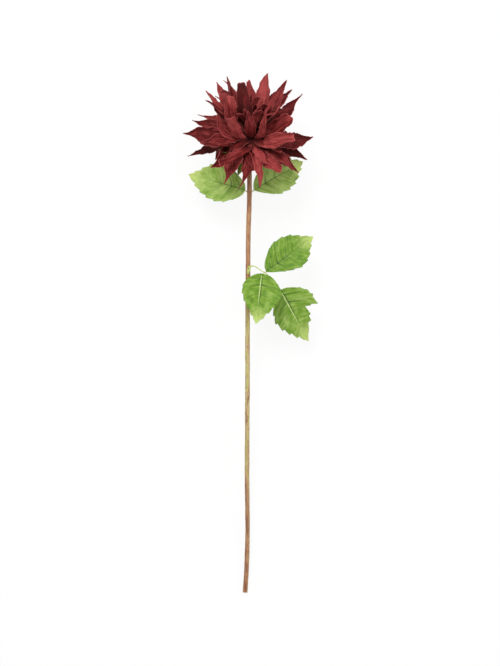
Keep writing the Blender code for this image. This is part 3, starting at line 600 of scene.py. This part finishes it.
def outlined(sheet, u, v, number, habit):
    # sets the widths along a petal: gathered at the heel, torn at the sides, then pinched or blunt
    heel = 1 + petal["heelSpread"] * (1 - easeIn(u, 0.0, petal["heelEnd"]))
    torn = sum(share * noiseField(u * waves, np.sign(v) * seeds["side"], number + seed)
               for (waves, share), seed in zip(petal["tears"], seeds["tears"]))
    least = petal["smoothest"]
    depth = petal["ragged"] * (least + (1 - least) * habit.get("rough", 1.0))
    ragged = np.maximum(1 + depth * torn * np.abs(v) * easeIn(u, 0.2, 0.5), petal["leastRagged"])
    if habit.get("blunt"):
        # its far part stays nearly as broad as its middle
        spans = rowSpans(sheet)
        kept = habit.get("end", petal["bluntEnd"]) * spans[:len(sheet) * 2 // 3].max()
        broadened = np.maximum(kept / np.maximum(spans, mm), 1.0)[:, None]
        shaped = np.where(u > petal["bluntFrom"], broadened, 1.0)
    else:
        start = habit.get("pinchFrom", petal["pinchFrom"])
        shaped = 1 - habit.get("pinch", petal["pinch"]) * easeIn(u, start, petal["pinchTo"])
    sheet = widen(sheet, heel * shaped * ragged * habit.get("wide", 1.0))
    # no row is left too narrow to hold together
    spans = np.maximum(rowSpans(sheet), 0.1 * mm)
    return widen(sheet, np.maximum(petal["leastSpan"] / spans, 1.0)[:, None])


def faceFront(sheet, share, u):
    # rolls a petal about its own length until its face is seen
    middle = sheet.shape[1] // 2
    half, reach = len(sheet) // 2, petal["faceRows"]
    along = unit(sheet[half + reach, middle] - sheet[half - reach, middle])
    across = unit(sheet[half, -1] - sheet[half, 0])
    wanted = np.cross(along, toViewer)
    wanted = unit(wanted if wanted @ across > 0 else -wanted)
    angle = math.atan2(np.cross(across, wanted) @ along, across @ wanted) * share
    turned = sheet.copy()
    for row in range(len(sheet)):
        before, after = sheet[max(row - 1, 0), middle], sheet[min(row + 1, len(sheet) - 1), middle]
        ease = float(easeIn(np.array(u[row, 0]), 0.05, 0.42))
        turn = np.array(Matrix.Rotation(angle * ease, 3, Vector(unit(after - before))))
        turned[row] = (sheet[row] - sheet[row, middle]) @ turn.T + sheet[row, middle]
    return turned


def trimEnd(sheet, number, habit):
    # tears every column off at its own length
    columns = np.linspace(-1, 1, sheet.shape[1])
    waves = noiseField(columns * petal["trimWaves"], np.zeros_like(columns), number + seeds["trim"])
    cut = petal["trimmed"] + petal["trimDepth"] * waves
    if habit.get("blunt"):
        cut = cut + habit.get("round", petal["bluntRound"]) * np.abs(columns) ** 2.5
    cut = np.clip(cut, 0, petal["mostTrimmed"])
    lines = np.linspace(0, len(sheet) - 1, len(sheet))
    return np.stack([refine(sheet[:, k], lines * (1 - cut[k])) for k in range(len(columns))], axis=1)


def foldSide(sheet, at, u):
    # the paper beyond a line turns back over itself
    v = np.linspace(-1, 1, sheet.shape[1])
    mirrored = np.where(v > at, 2 * at - v, v)
    spots = (mirrored + 1) / 2 * (sheet.shape[1] - 1)
    flap = np.stack([refine(row, spots) for row in sheet])
    raised = np.clip((v - at) / petal["foldStep"], 0, 1) * petal["foldLift"]
    share = easeIn(u, 0.15, 0.4) * easeIn(1 - u, 0.0, 0.12)
    offset = (flap + sheetNormals(sheet) * raised[None, :, None]) - sheet
    return sheet + offset * share[:, :, None]


def ridged(x, y, seed):
    # noise with the sharp ridges of creased paper
    return 1 - 3.2 * np.abs(noiseField(x, y, seed))


def creased(sheet, u, v, length, number, rough):
    # lifts the paper into sways, pleats, crumples, crinkles and a ruffled margin, and marks its ridges
    wide = np.linalg.norm(np.diff(sheet, axis=1), axis=2).sum(axis=1)
    x, y = v * wide[:, None] / 2, u * length

    def folds(kind, wave):
        acrossStep, alongStep = petal[kind][:2]
        return wave(x / acrossStep, y / alongStep, number + seeds[kind])

    sway, crumple, crinkle = folds("sway", noiseField), folds("crumple", ridged), folds("crinkle", ridged)
    wanderWaves, wander = petal["pleatWander"]
    bend = noiseField(u * wanderWaves, np.zeros_like(u), number + seeds["wander"]) * wander
    acrossWaves, alongWaves = petal["pleatWaves"]
    pleats = ridged((v + bend) * acrossWaves, u * alongWaves, number + seeds["pleat"])
    sides = np.sign(v) * seeds["side"]
    ruffle = noiseField(sides, y / petal["ruffleLong"], number + seeds["ruffle"]) * np.abs(v) ** 3
    fullness = min(1.0, wide.max() / petal["fullWidth"])
    rough = rough * fullness
    lift = (petal["sway"][-1] * fullness * sway + rough * petal["pleat"] * pleats / 2
            + rough * petal["crumple"][-1] * crumple / 2
            + petal["crinkle"][-1] * crinkle / 2 + petal["ruffle"] * fullness * ruffle)
    free = easeIn(u, 0.04, 0.35) * (1 - 0.45 * easeIn(u, 0.6, 1.0))
    # the ridge mark: high on ridges, low in valleys, which the material turns into wear and into painted
    # light and shade
    ridge = np.clip(0.5 + 0.22 * pleats + 0.2 * crumple + 0.12 * crinkle, 0, 1)
    return sheet + sheetNormals(sheet) * (lift * free)[:, :, None], ridge


def bendFrom(sheet, start, degrees, kind):
    # turns the rows beyond a point a little more each, as paper curls
    first = max(int(start * (len(sheet) - 1)), 1)
    step = math.radians(degrees) / (len(sheet) - 1 - first)
    middle = sheet.shape[1] // 2
    across = unit(sheet[first, -1] - sheet[first, 0])
    for row in range(first, len(sheet) - 1):
        along = unit(sheet[row + 1, middle] - sheet[row - 1, middle])
        across = unit(across - along * (across @ along))
        axis = {"curl": across, "twist": along, "hook": np.cross(along, across)}[kind]
        turn = np.array(Matrix.Rotation(step, 3, Vector(axis)))
        sheet[row + 1:] = (sheet[row + 1:] - sheet[row, middle]) @ turn.T + sheet[row, middle]
        across = turn @ across
    return sheet


def bentTip(sheet, tip, u, habit, random):
    # a gently bent petal still points where it did
    middle = sheet.shape[1] // 2
    for kind in ("twist", "curl", "hook"):
        usual = petal["bendFrom"], petal[kind] * random.uniform(-1, 1)
        start, degrees = habit.get(kind, usual)
        if habit.get("blunt") and kind not in habit:
            degrees *= petal["bluntBend"]
        sheet = bendFrom(sheet, start, degrees, kind)
        if abs(degrees) < petal["mostSteered"]:
            sheet = sheet + (tip - sheet[-1, middle]) * easeIn(u, 0.1, 1.0)[:, :, None]
        tip = sheet[-1, middle].copy()
    return sheet


def nearer(sheet):
    # the front petals' places were read from the photo flat, so what stands nearer to the lens is drawn in
    forward = np.clip((sheet - headMiddle) @ toViewer, 0, None)
    aside = sheet - photo["target"]
    aside = aside - (aside @ toViewer)[..., None] * toViewer
    return sheet - aside * (forward / photo["distance"])[..., None]


def crumpled(rows, number, habit, shaded):
    # a sheet of crumpled paper over the rows, with marks for the material: its ridges, its tone and how far
    # the painted shade at its foot reaches
    random = np.random.default_rng(seeds["petals"] + number)
    u, v = gridPlaces(petal)
    sheet = outlined(fineSheet(rows, petal), u, v, number, habit)
    if "face" in habit:
        sheet = faceFront(sheet, habit["face"], u)
    if "bow" in habit:
        right, up = np.array(habit["bow"]) * mm
        sheet = sheet + (view[:, 0] * right + view[:, 1] * up) * np.sin(math.pi * u)[:, :, None]
    tip = sheet[-1, sheet.shape[1] // 2].copy()
    sheet = trimEnd(sheet, number, habit)
    if "fold" in habit:
        sheet = foldSide(sheet, habit["fold"], u)
    length = np.linalg.norm(np.diff(rows[:, middlePoint], axis=0), axis=1).sum()
    sheet, ridge = creased(sheet, u, v, length, number, habit.get("rough", 1.0))
    sheet = bentTip(sheet, tip, u, habit, random)
    tone = np.full(u.shape, habit.get("tone", random.uniform(0, 1)))
    return nearer(sheet), {"ridge": ridge, "tone": tone, "shade": 1 - easeIn(u, 0.0, shaded)}


def innerRows(tipPlace, width, level):
    # a small petal's points, from the core to where its tip stands
    tip = fromHead(*tipPlace)
    way = unit(unit(tip - coreMiddle) + headUp * (0 if level else inner["rise"]))
    base = coreMiddle + way * inner["coreRadius"]
    knee = base + way * np.linalg.norm(tip - base) * inner["lift"]
    rows = []
    for share in np.linspace(0, 1, inner["stations"]):
        spot = (1 - share) ** 2 * base + 2 * share * (1 - share) * knee + share ** 2 * tip
        along = unit((1 - share) * (knee - base) + share * (tip - knee))
        across = unit(np.cross(along, spot - coreMiddle + headUp * inner["lean"]))
        if across @ view[:, 0] < 0:
            across = -across
        inward = unit(np.cross(across, along))
        grown = min(share ** inner["roundness"] * inner["swell"] + inner["swellFrom"], 1)
        swell = math.sin(math.pi * grown) ** inner["roundness"]
        foot = inner["foot"] * (1 - share * inner["footEnd"])
        half = width * mm / 2 * max(swell, foot, inner["least"])
        rows.append([spot + across * half * v + inward * half * inner["cup"] * (v * v - 0.5)
                     for v in acrossPlaces])
    return np.array(rows)


petalNames = sorted(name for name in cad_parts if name.startswith("petal_"))
for number, nodeName in enumerate(petalNames):
    name = nodeName.replace("petal_", "")
    shaded = petal["shaded"][name.split("_")[0]]
    sheet, marks = crumpled(sheetRows(nodeName, wireEnd), number, petalHabits.get(name, {}), shaded)
    piece = addSheet("paper_" + name, sheet, petal["thickness"], marks)
    dress(piece, petalLook, "petal", nodeName)
for number, (tipPlace, width, habit) in enumerate(innerPetals):
    rows = innerRows(tipPlace, width, "level" in habit)
    sheet, marks = crumpled(rows, number + seeds["inner"], habit, petal["shaded"]["inner"])
    piece = addSheet("paper_inner_%02d" % (number + 1), sheet, petal["thickness"], marks)
    dress(piece, petalLook, "petal")
print("petals made:", len(petalNames) + len(innerPetals))


# Sepals: narrow green paper leaves under the head, which show between the petals

sepal = {"width": 12 * mm, "thickness": 0.3 * mm, "footDrop": 6 * mm, "sag": 5 * mm, "keel": 0.3,
         "roundness": 0.7, "least": 0.08, "swellFrom": 0.04, "stations": 8, "alongCount": 60,
         "acrossCount": 13}
# where their tips stand, in mm right, up and forward of the head's middle
sepalTips = [(-40, -11, 24), (-15, -41, 14), (24, -44, -10), (46, -16, -34), (-26, -24, -44), (22, -26, -46)]


def sepalRows(tip):
    foot = wireEnd - headUp * sepal["footDrop"]
    way = unit(tip - foot)
    outward = unit(way - headUp * (way @ headUp))
    side = np.cross(way, headUp * (way @ outward) - outward * (way @ headUp))
    rows = []
    for share in np.linspace(0, 1, sepal["stations"]):
        spot = foot + (tip - foot) * share - headUp * sepal["sag"] * math.sin(math.pi * share)
        grown = min(share * (1 - sepal["swellFrom"]) + sepal["swellFrom"], 1)
        half = sepal["width"] / 2 * max(math.sin(math.pi * grown) ** sepal["roundness"], sepal["least"])
        rows.append([spot + side * half * v + headUp * half * sepal["keel"] * v * v for v in acrossPlaces])
    return np.array(rows)


for number, tipPlace in enumerate(sepalTips):
    sheet = fineSheet(sepalRows(fromHead(*tipPlace)), sepal)
    piece = addSheet("sepal_%02d" % (number + 1), sheet, sepal["thickness"])
    giveTone(piece, number)
    dress(piece, leafLooks["leaflet_upper"], "leaf")
print("sepals made:", len(sepalTips))


# Leaves

leaf = {
    "alongCount": 180, "acrossCount": 37, "thickness": 0.35 * mm, "droop": 0.10, "fold": 0.16,
    "teeth": 8.0, "toothDepth": 2.7 * mm, "toothReach": 1.8 * mm, "toothPeak": 0.84, "bunched": 1.1,
    "firstTooth": 0.35, "toothStep": 0.13, "toothMiddle": (0.4, 0.5), "toothSize": (0.8, 0.25),
    # the side ribs leave the midrib before the margin's points, and sweep out to them
    "ribSweep": 1.15, "ribBow": 0.16, "ribStraightens": 0.4, "leastRib": 0.4, "ribCurve": 1.2,
    "groove": 0.5 * mm, "grooveWidth": 0.07, "ribs": 7.0, "pucker": 0.6 * mm,
    "warp": 1.7 * mm, "warpLong": 26 * mm, "warpWide": 20 * mm,
}
topNode, forkPlace = (0.0, 0.2, 0.06), (0.021, 0.088, 0.045)
# each leaf's wire start, and the corners of its two sides: how far along and across they stand, in mm
leafPatterns = {
    "leaf_left": (topNode, [
        (0, 1), (2, 8), (9, 15), (17, 20), (27, 24.5), (42, 25), (56, 20.5), (67, 13.5), (83.3, 0)], [
        (0, 1), (3, 8), (9, 13), (20, 20), (35, 24.5), (48, 23.5), (56, 20), (65, 13.2), (74, 6.2),
        (83.3, 0)]),
    "leaf_right": (topNode, [
        (0, 1), (5, 9), (13, 15.5), (25, 22), (38, 24.5), (53, 20), (65, 13), (81, 0)], [
        (0, 1), (7, 8.2), (13, 13.5), (19, 18), (27, 22.5), (42, 23.8), (57, 19.2), (66, 12), (74, 6),
        (81, 0)]),
    "leaflet_upper": (forkPlace, [
        (0, 1), (2, 7), (8, 13.5), (18, 20.5), (28, 25), (42, 25), (55, 20.5), (65, 12.8), (74, 5.6),
        (81, 0)], [
        (0, 1), (7, 6.5), (14, 11), (22, 16), (31, 20), (44, 23.6), (58, 19), (64, 13.8), (72, 6.8),
        (81, 0)]),
    "leaflet_front": (forkPlace, [
        (0, 2), (2.7, 10), (8, 16), (14, 20.5), (26, 28), (35, 28.8), (44, 26), (56, 19.4), (63, 13.5),
        (70, 8), (78.3, 0)], [
        (0, 2), (3, 8), (7, 13), (15.5, 20.5), (24, 23.5), (33, 23.9), (47, 19.6), (59, 12), (68, 6.5),
        (78.3, 0)]),
    "leaflet_lower": (forkPlace, [
        (0, 1), (1.2, 8.7), (4.5, 16), (8, 21.5), (9, 24.5), (14, 28.5), (17, 32.6), (22.5, 33),
        (25.5, 36.3), (29, 34), (41, 36), (37, 28), (38.2, 25.2), (33.5, 19.5), (36, 18.6), (48.5, 20.5),
        (50, 16.9), (57, 17), (57.6, 12), (66, 8.8), (73, 3.8), (81.2, 0)], [
        (0, 1), (5.4, 9.4), (11, 16.6), (21, 23), (28, 25.3), (36, 27.3), (49, 23.6), (58, 18), (67, 11.6),
        (81.2, 0)]),
}


def margin(u, corners, number, cornered):
    # the blade's edge as (along, across): saw teeth that point to the tip, or straight from corner to corner
    corners = np.array(corners) * mm
    travelled = np.r_[0, np.cumsum(np.linalg.norm(np.diff(corners, axis=0), axis=1))]
    spots = np.interp(u * travelled[-1], travelled, np.arange(len(corners)))
    if cornered:
        return (np.interp(spots, np.arange(len(corners)), corners[:, 0]),
                np.interp(spots, np.arange(len(corners)), corners[:, 1]))
    smooth = refine(corners, spots.ravel()).reshape(u.shape + (2,))
    shift = leaf["firstTooth"] + leaf["toothStep"] * number
    phase = (u ** leaf["bunched"] * leaf["teeth"] + shift) % 1.0
    peak = leaf["toothPeak"]
    saw = np.where(phase < peak, phase / peak, (1 - phase) / (1 - peak))
    least, varied = leaf["toothSize"]
    size = easeIn(u, 0.12, 0.26) * easeIn(1 - u, 0.03, 0.12) * (least + varied * math.sin(number * 2.0))
    middleAlong, middleAcross = leaf["toothMiddle"]
    return (smooth[..., 0] + (saw - middleAlong) * size * leaf["toothReach"],
            smooth[..., 1] + (saw - middleAcross) * size * leaf["toothDepth"])


def leafAxes(rows):
    # the blade's own directions at its foot: forward, sideways and upward, before it droops
    outward = unit(rows[-1, middlePoint] - rows[0, middlePoint])
    sideways = sum(row[-1] - row[0] for row in rows)
    sideways = unit(sideways - outward * (sideways @ outward))
    upward = unit(np.cross(outward, sideways))
    if upward[2] < 0:
        upward = -upward
    bent = math.atan(leaf["droop"])
    return (outward * math.cos(bent) + upward * math.sin(bent), sideways,
            upward * math.cos(bent) - outward * math.sin(bent))


def leafSheet(nodeName, number):
    footPlace, plusSide, minusSide = leafPatterns[nodeName]
    # read from the tip, the farthest point from where the leaf's wire starts
    points = nodePoints(nodeName)
    rows = sheetRows(nodeName, points[np.argmax(np.linalg.norm(points - footPlace, axis=1))])[::-1]
    if sheetNormals(rows)[:, :, 2].sum() < 0:
        rows = rows[:, ::-1]
    forward, sideways, raised = leafAxes(rows)
    # flat places on the paper
    length = plusSide[-1][0] * mm
    u, v = gridPlaces(leaf)
    plusAlong, plusAcross = margin(u, plusSide, number, nodeName == "leaflet_lower")
    minusAlong, minusAcross = margin(u, minusSide, number + 3, False)
    along, across = np.where(v > 0, plusAlong, minusAlong), np.where(v > 0, plusAcross, minusAcross)
    bow = leaf["ribBow"] * np.sin(math.pi * u) * (1 - u * leaf["ribStraightens"])
    ribStart = np.maximum(length * (u ** leaf["ribSweep"] - bow), u * leaf["leastRib"] * length)
    flatAlong = ribStart + (along - ribStart) * np.abs(v) ** leaf["ribCurve"]
    flatAcross = across * v
    # the blade is folded along its midrib, droops to its tip and is pressed along its veins
    ribs = np.abs((u * leaf["ribs"]) % 1.0 - 0.5) * 2
    grooves = -leaf["groove"] * np.exp(-((v / leaf["grooveWidth"]) ** 2)) * (1 - u)
    pucker = leaf["pucker"] * (1 - ribs ** 3) * np.sin(math.pi * np.abs(v)) * easeIn(1 - u, 0.0, 0.3)
    warped = noiseField(flatAlong / leaf["warpLong"], flatAcross / leaf["warpWide"],
                        number + seeds["warp"])
    lift = (np.abs(flatAcross) * leaf["fold"] - leaf["droop"] * flatAlong ** 2 / length
            + grooves + pucker + leaf["warp"] * warped * easeIn(np.abs(v), 0.15, 1.0))
    return (rows[0, middlePoint] + forward * flatAlong[:, :, None] + sideways * flatAcross[:, :, None]
            + raised * lift[:, :, None])


for number, nodeName in enumerate(leafPatterns):
    piece = addSheet(nodeName + "_paper", leafSheet(nodeName, number), leaf["thickness"])
    giveTone(piece, number, 0.2)
    dress(piece, leafLooks[nodeName], "leaf", nodeName)
print("leaves made:", len(leafPatterns))


# The stem's paper sleeve

sleeve = {
    "sides": 40, "stations": 520, "boreStations": 40, "boreRadius": 1.75 * mm, "ringGap": 3 * mm,
    "wrinkle": 0.22 * mm, "fineShare": 0.6, "knobs": 0.3 * mm, "knobSeed": 40,
    # how often each wave comes round the stem, and its length along it
    "wrinkleWave": (2.4, 34 * mm), "fineWave": (5, 9 * mm), "knobWave": (0.7, 17 * mm),
    "seam": 0.22 * mm, "seamAt": 2.2, "seamTurn": 3.0, "seamSteep": 6,
}


def sleevePath():
    # the middles of the CAD sleeve's rings, and its radius
    points = nodePoints("stem_wrap")
    points = points[np.argsort(points[:, 1])]
    rings = np.split(points, np.where(np.diff(points[:, 1]) > sleeve["ringGap"])[0] + 1)
    middles = np.array([(ring.min(axis=0) + ring.max(axis=0)) / 2 for ring in rings])
    radius = np.median([np.ptp(ring[:, 0]) / 2 for ring in rings])
    return middles, radius


def sleeveWave(turn, level, wave, start=0):
    around, long = sleeve[wave]
    return noise.noise(Vector((math.cos(turn) * around, math.sin(turn) * around, level / long + start)))


def sleeveLift(turn, level):
    # lengthwise wrinkles, soft knobs and the step where the paper's edge was rolled over
    wrinkle, fine = sleeveWave(turn, level, "wrinkleWave"), sleeveWave(turn, level, "fineWave")
    knob = sleeveWave(turn, level, "knobWave", sleeve["knobSeed"])
    pastSeam = ((turn - sleeve["seamAt"] - level * sleeve["seamTurn"]) / (2 * math.pi)) % 1.0
    return (sleeve["wrinkle"] * (wrinkle + sleeve["fineShare"] * fine) + sleeve["knobs"] * knob
            + sleeve["seam"] * max(0.0, 1 - pastSeam * sleeve["seamSteep"]))


def sleeveRings():
    middles, radius = sleevePath()
    stations = refine(middles, np.linspace(0, len(middles) - 1, sleeve["stations"]))
    bore = refine(middles, np.linspace(len(middles) - 1, 0, sleeve["boreStations"]))
    turns = np.linspace(0, 2 * math.pi, sleeve["sides"], endpoint=False)
    rings = []
    for path, outside in ((stations, True), (bore, False)):
        for spot, way in zip(path, np.gradient(path, axis=0)):
            way = unit(way)
            right = unit(np.cross(way, (0, 0, 1)))
            up = np.cross(right, way)
            reach = np.full(len(turns), sleeve["boreRadius"])
            if outside:
                reach = np.array([radius + sleeveLift(turn, spot[1]) for turn in turns])
            ring = np.outer(np.cos(turns) * reach, right) + np.outer(np.sin(turns) * reach, up)
            rings.append(spot + ring)
    return np.array(rings)


def addSleeve():
    rings = sleeveRings()
    bpy.ops.mesh.primitive_circle_add(vertices=sleeve["sides"], radius=sleeve["boreRadius"])
    piece = bpy.context.object
    piece.name = piece.data.name = "sleeve"
    solid = bmesh.new()
    loops = [[solid.verts.new(spot) for spot in ring] for ring in rings]
    for here, there in zip(loops, loops[1:] + loops[:1]):
        for k in range(sleeve["sides"]):
            after = (k + 1) % sleeve["sides"]
            solid.faces.new((here[k], here[after], there[after], there[k]))
    bmesh.ops.recalc_face_normals(solid, faces=solid.faces)
    solid.to_mesh(piece.data)
    solid.free()
    bpy.ops.object.shade_smooth_by_angle(angle=math.radians(50))
    return piece


dress(addSleeve(), stemLook, "wrap", "stem_wrap")
print("sleeve made")


# The pale green sheath that holds the twig to the stem

sheath = {"radius": 1.5 * mm, "sides": 24, "near": 4 * mm, "over": 0.5 * mm, "bevel": 0.5 * mm, "segments": 3}
twigPoints = nodePoints("twig")
twigFoot = twigPoints[np.abs(twigPoints[:, 0]) < sheath["near"]]
lowest = twigFoot[twigFoot[:, 1] < twigFoot[:, 1].min() + mm].mean(axis=0)
highest = twigFoot[twigFoot[:, 1] > twigFoot[:, 1].max() - mm].mean(axis=0)
run = Vector(highest - lowest)
bpy.ops.mesh.primitive_cylinder_add(vertices=sheath["sides"], radius=sheath["radius"],
                                    depth=run.length + 2 * sheath["over"], location=(lowest + highest) / 2,
                                    rotation=run.to_track_quat("Z", "Y").to_euler())
piece = bpy.context.object
piece.name = piece.data.name = "twig_sheath"
bpy.ops.object.transform_apply(location=True, rotation=True, scale=True)
bpy.ops.object.modifier_add(type="BEVEL")
piece.modifiers[-1].width = sheath["bevel"]
piece.modifiers[-1].segments = sheath["segments"]
bpy.ops.object.modifier_apply(modifier=piece.modifiers[-1].name)
bpy.ops.object.shade_smooth_by_angle(angle=math.radians(50))
dress(piece, wireLook, "green_wire")
print("sheath made")


# Carried-over pieces

for nodeName, look in {"stem_wire": steelLook, "flower_core": coreLook, "calyx": calyxLook,
                       "leaf_left_wire": wireLook, "leaf_right_wire": wireLook, "twig": wireLook}.items():
    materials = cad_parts[nodeName].data.materials
    materials.clear()
    materials.append(look)


# Stage, light and camera

stage = {"floorSize": 8.0, "floor": "#fbfbfa", "roughness": 0.9, "whitened": 0.9, "sky": 0.42}


def showWhite(tree, shaded, whiteKind, output, share=1.0):
    # plain white for what the camera sees, straight, mirrored or through glass
    rays = addNode(tree, "ShaderNodeLightPath").outputs
    seen = plus(tree, plus(tree, rays["Is Camera Ray"], rays["Is Glossy Ray"]), rays["Is Transmission Ray"],
                clamp=True)
    white = addNode(tree, whiteKind, Color=(1, 1, 1, 1), Strength=1.0)
    mixed = addNode(tree, "ShaderNodeMixShader", links={
        0: times(tree, seen, share), 1: shaded.outputs[0], 2: white.outputs[0]})
    tree.links.new(mixed.outputs[0], tree.nodes[output].inputs["Surface"])


bpy.ops.mesh.primitive_plane_add(size=stage["floorSize"], location=(0, 0, 0))
floor = bpy.context.object
floor.name = "floor"
floorPaint, floorTree, floorShader = startMaterial("floorPaint")
floorShader.inputs["Base Color"].default_value = fromHex(stage["floor"])
floorShader.inputs["Roughness"].default_value = stage["roughness"]
showWhite(floorTree, floorShader, "ShaderNodeEmission", "Material Output", stage["whitened"])
floor.data.materials.append(floorPaint)

world = bpy.data.worlds.new("studio")
world.use_nodes = True
bpy.context.scene.world = world
sky = world.node_tree.nodes["Background"]
sky.inputs["Color"].default_value = (1, 1, 1, 1)
sky.inputs["Strength"].default_value = stage["sky"]
showWhite(world.node_tree, sky, "ShaderNodeBackground", "World Output")

lamps = {
    "aim": (0, 0.1, 0),
    "keyLamp": {"place": (-0.55, 1.1, 2.2), "size": 1.1, "power": 38},
    "fillLamp": {"place": (1.2, 0.1, 1.9), "size": 1.8, "power": 14},
}
for name in ("keyLamp", "fillLamp"):
    place = Vector(lamps[name]["place"])
    bpy.ops.object.light_add(type="AREA", location=place)
    light = bpy.context.object
    light.name = name
    light.data.size = lamps[name]["size"]
    light.data.energy = lamps[name]["power"]
    light.rotation_euler = (Vector(lamps["aim"]) - place).to_track_quat("-Z", "Y").to_euler()

bpy.ops.object.camera_add()
eye = bpy.context.object
eye.name = "camera"
eye.data.lens = photo["lens"]
eye.data.sensor_fit = "HORIZONTAL"
eye.data.sensor_width = photo["sensor"]
eye.data.clip_end = 20
eye.rotation_euler = Euler([math.radians(angle) for angle in photo["turn"]])
distance = photo["wide"] * photo["lens"] / photo["sensor"]
eye.location = Vector(photo["target"]) + eye.rotation_euler.to_matrix() @ Vector((0, 0, distance))
bpy.context.scene.camera = eye
bpy.context.scene.view_settings.view_transform = "Standard"
print("stage set")
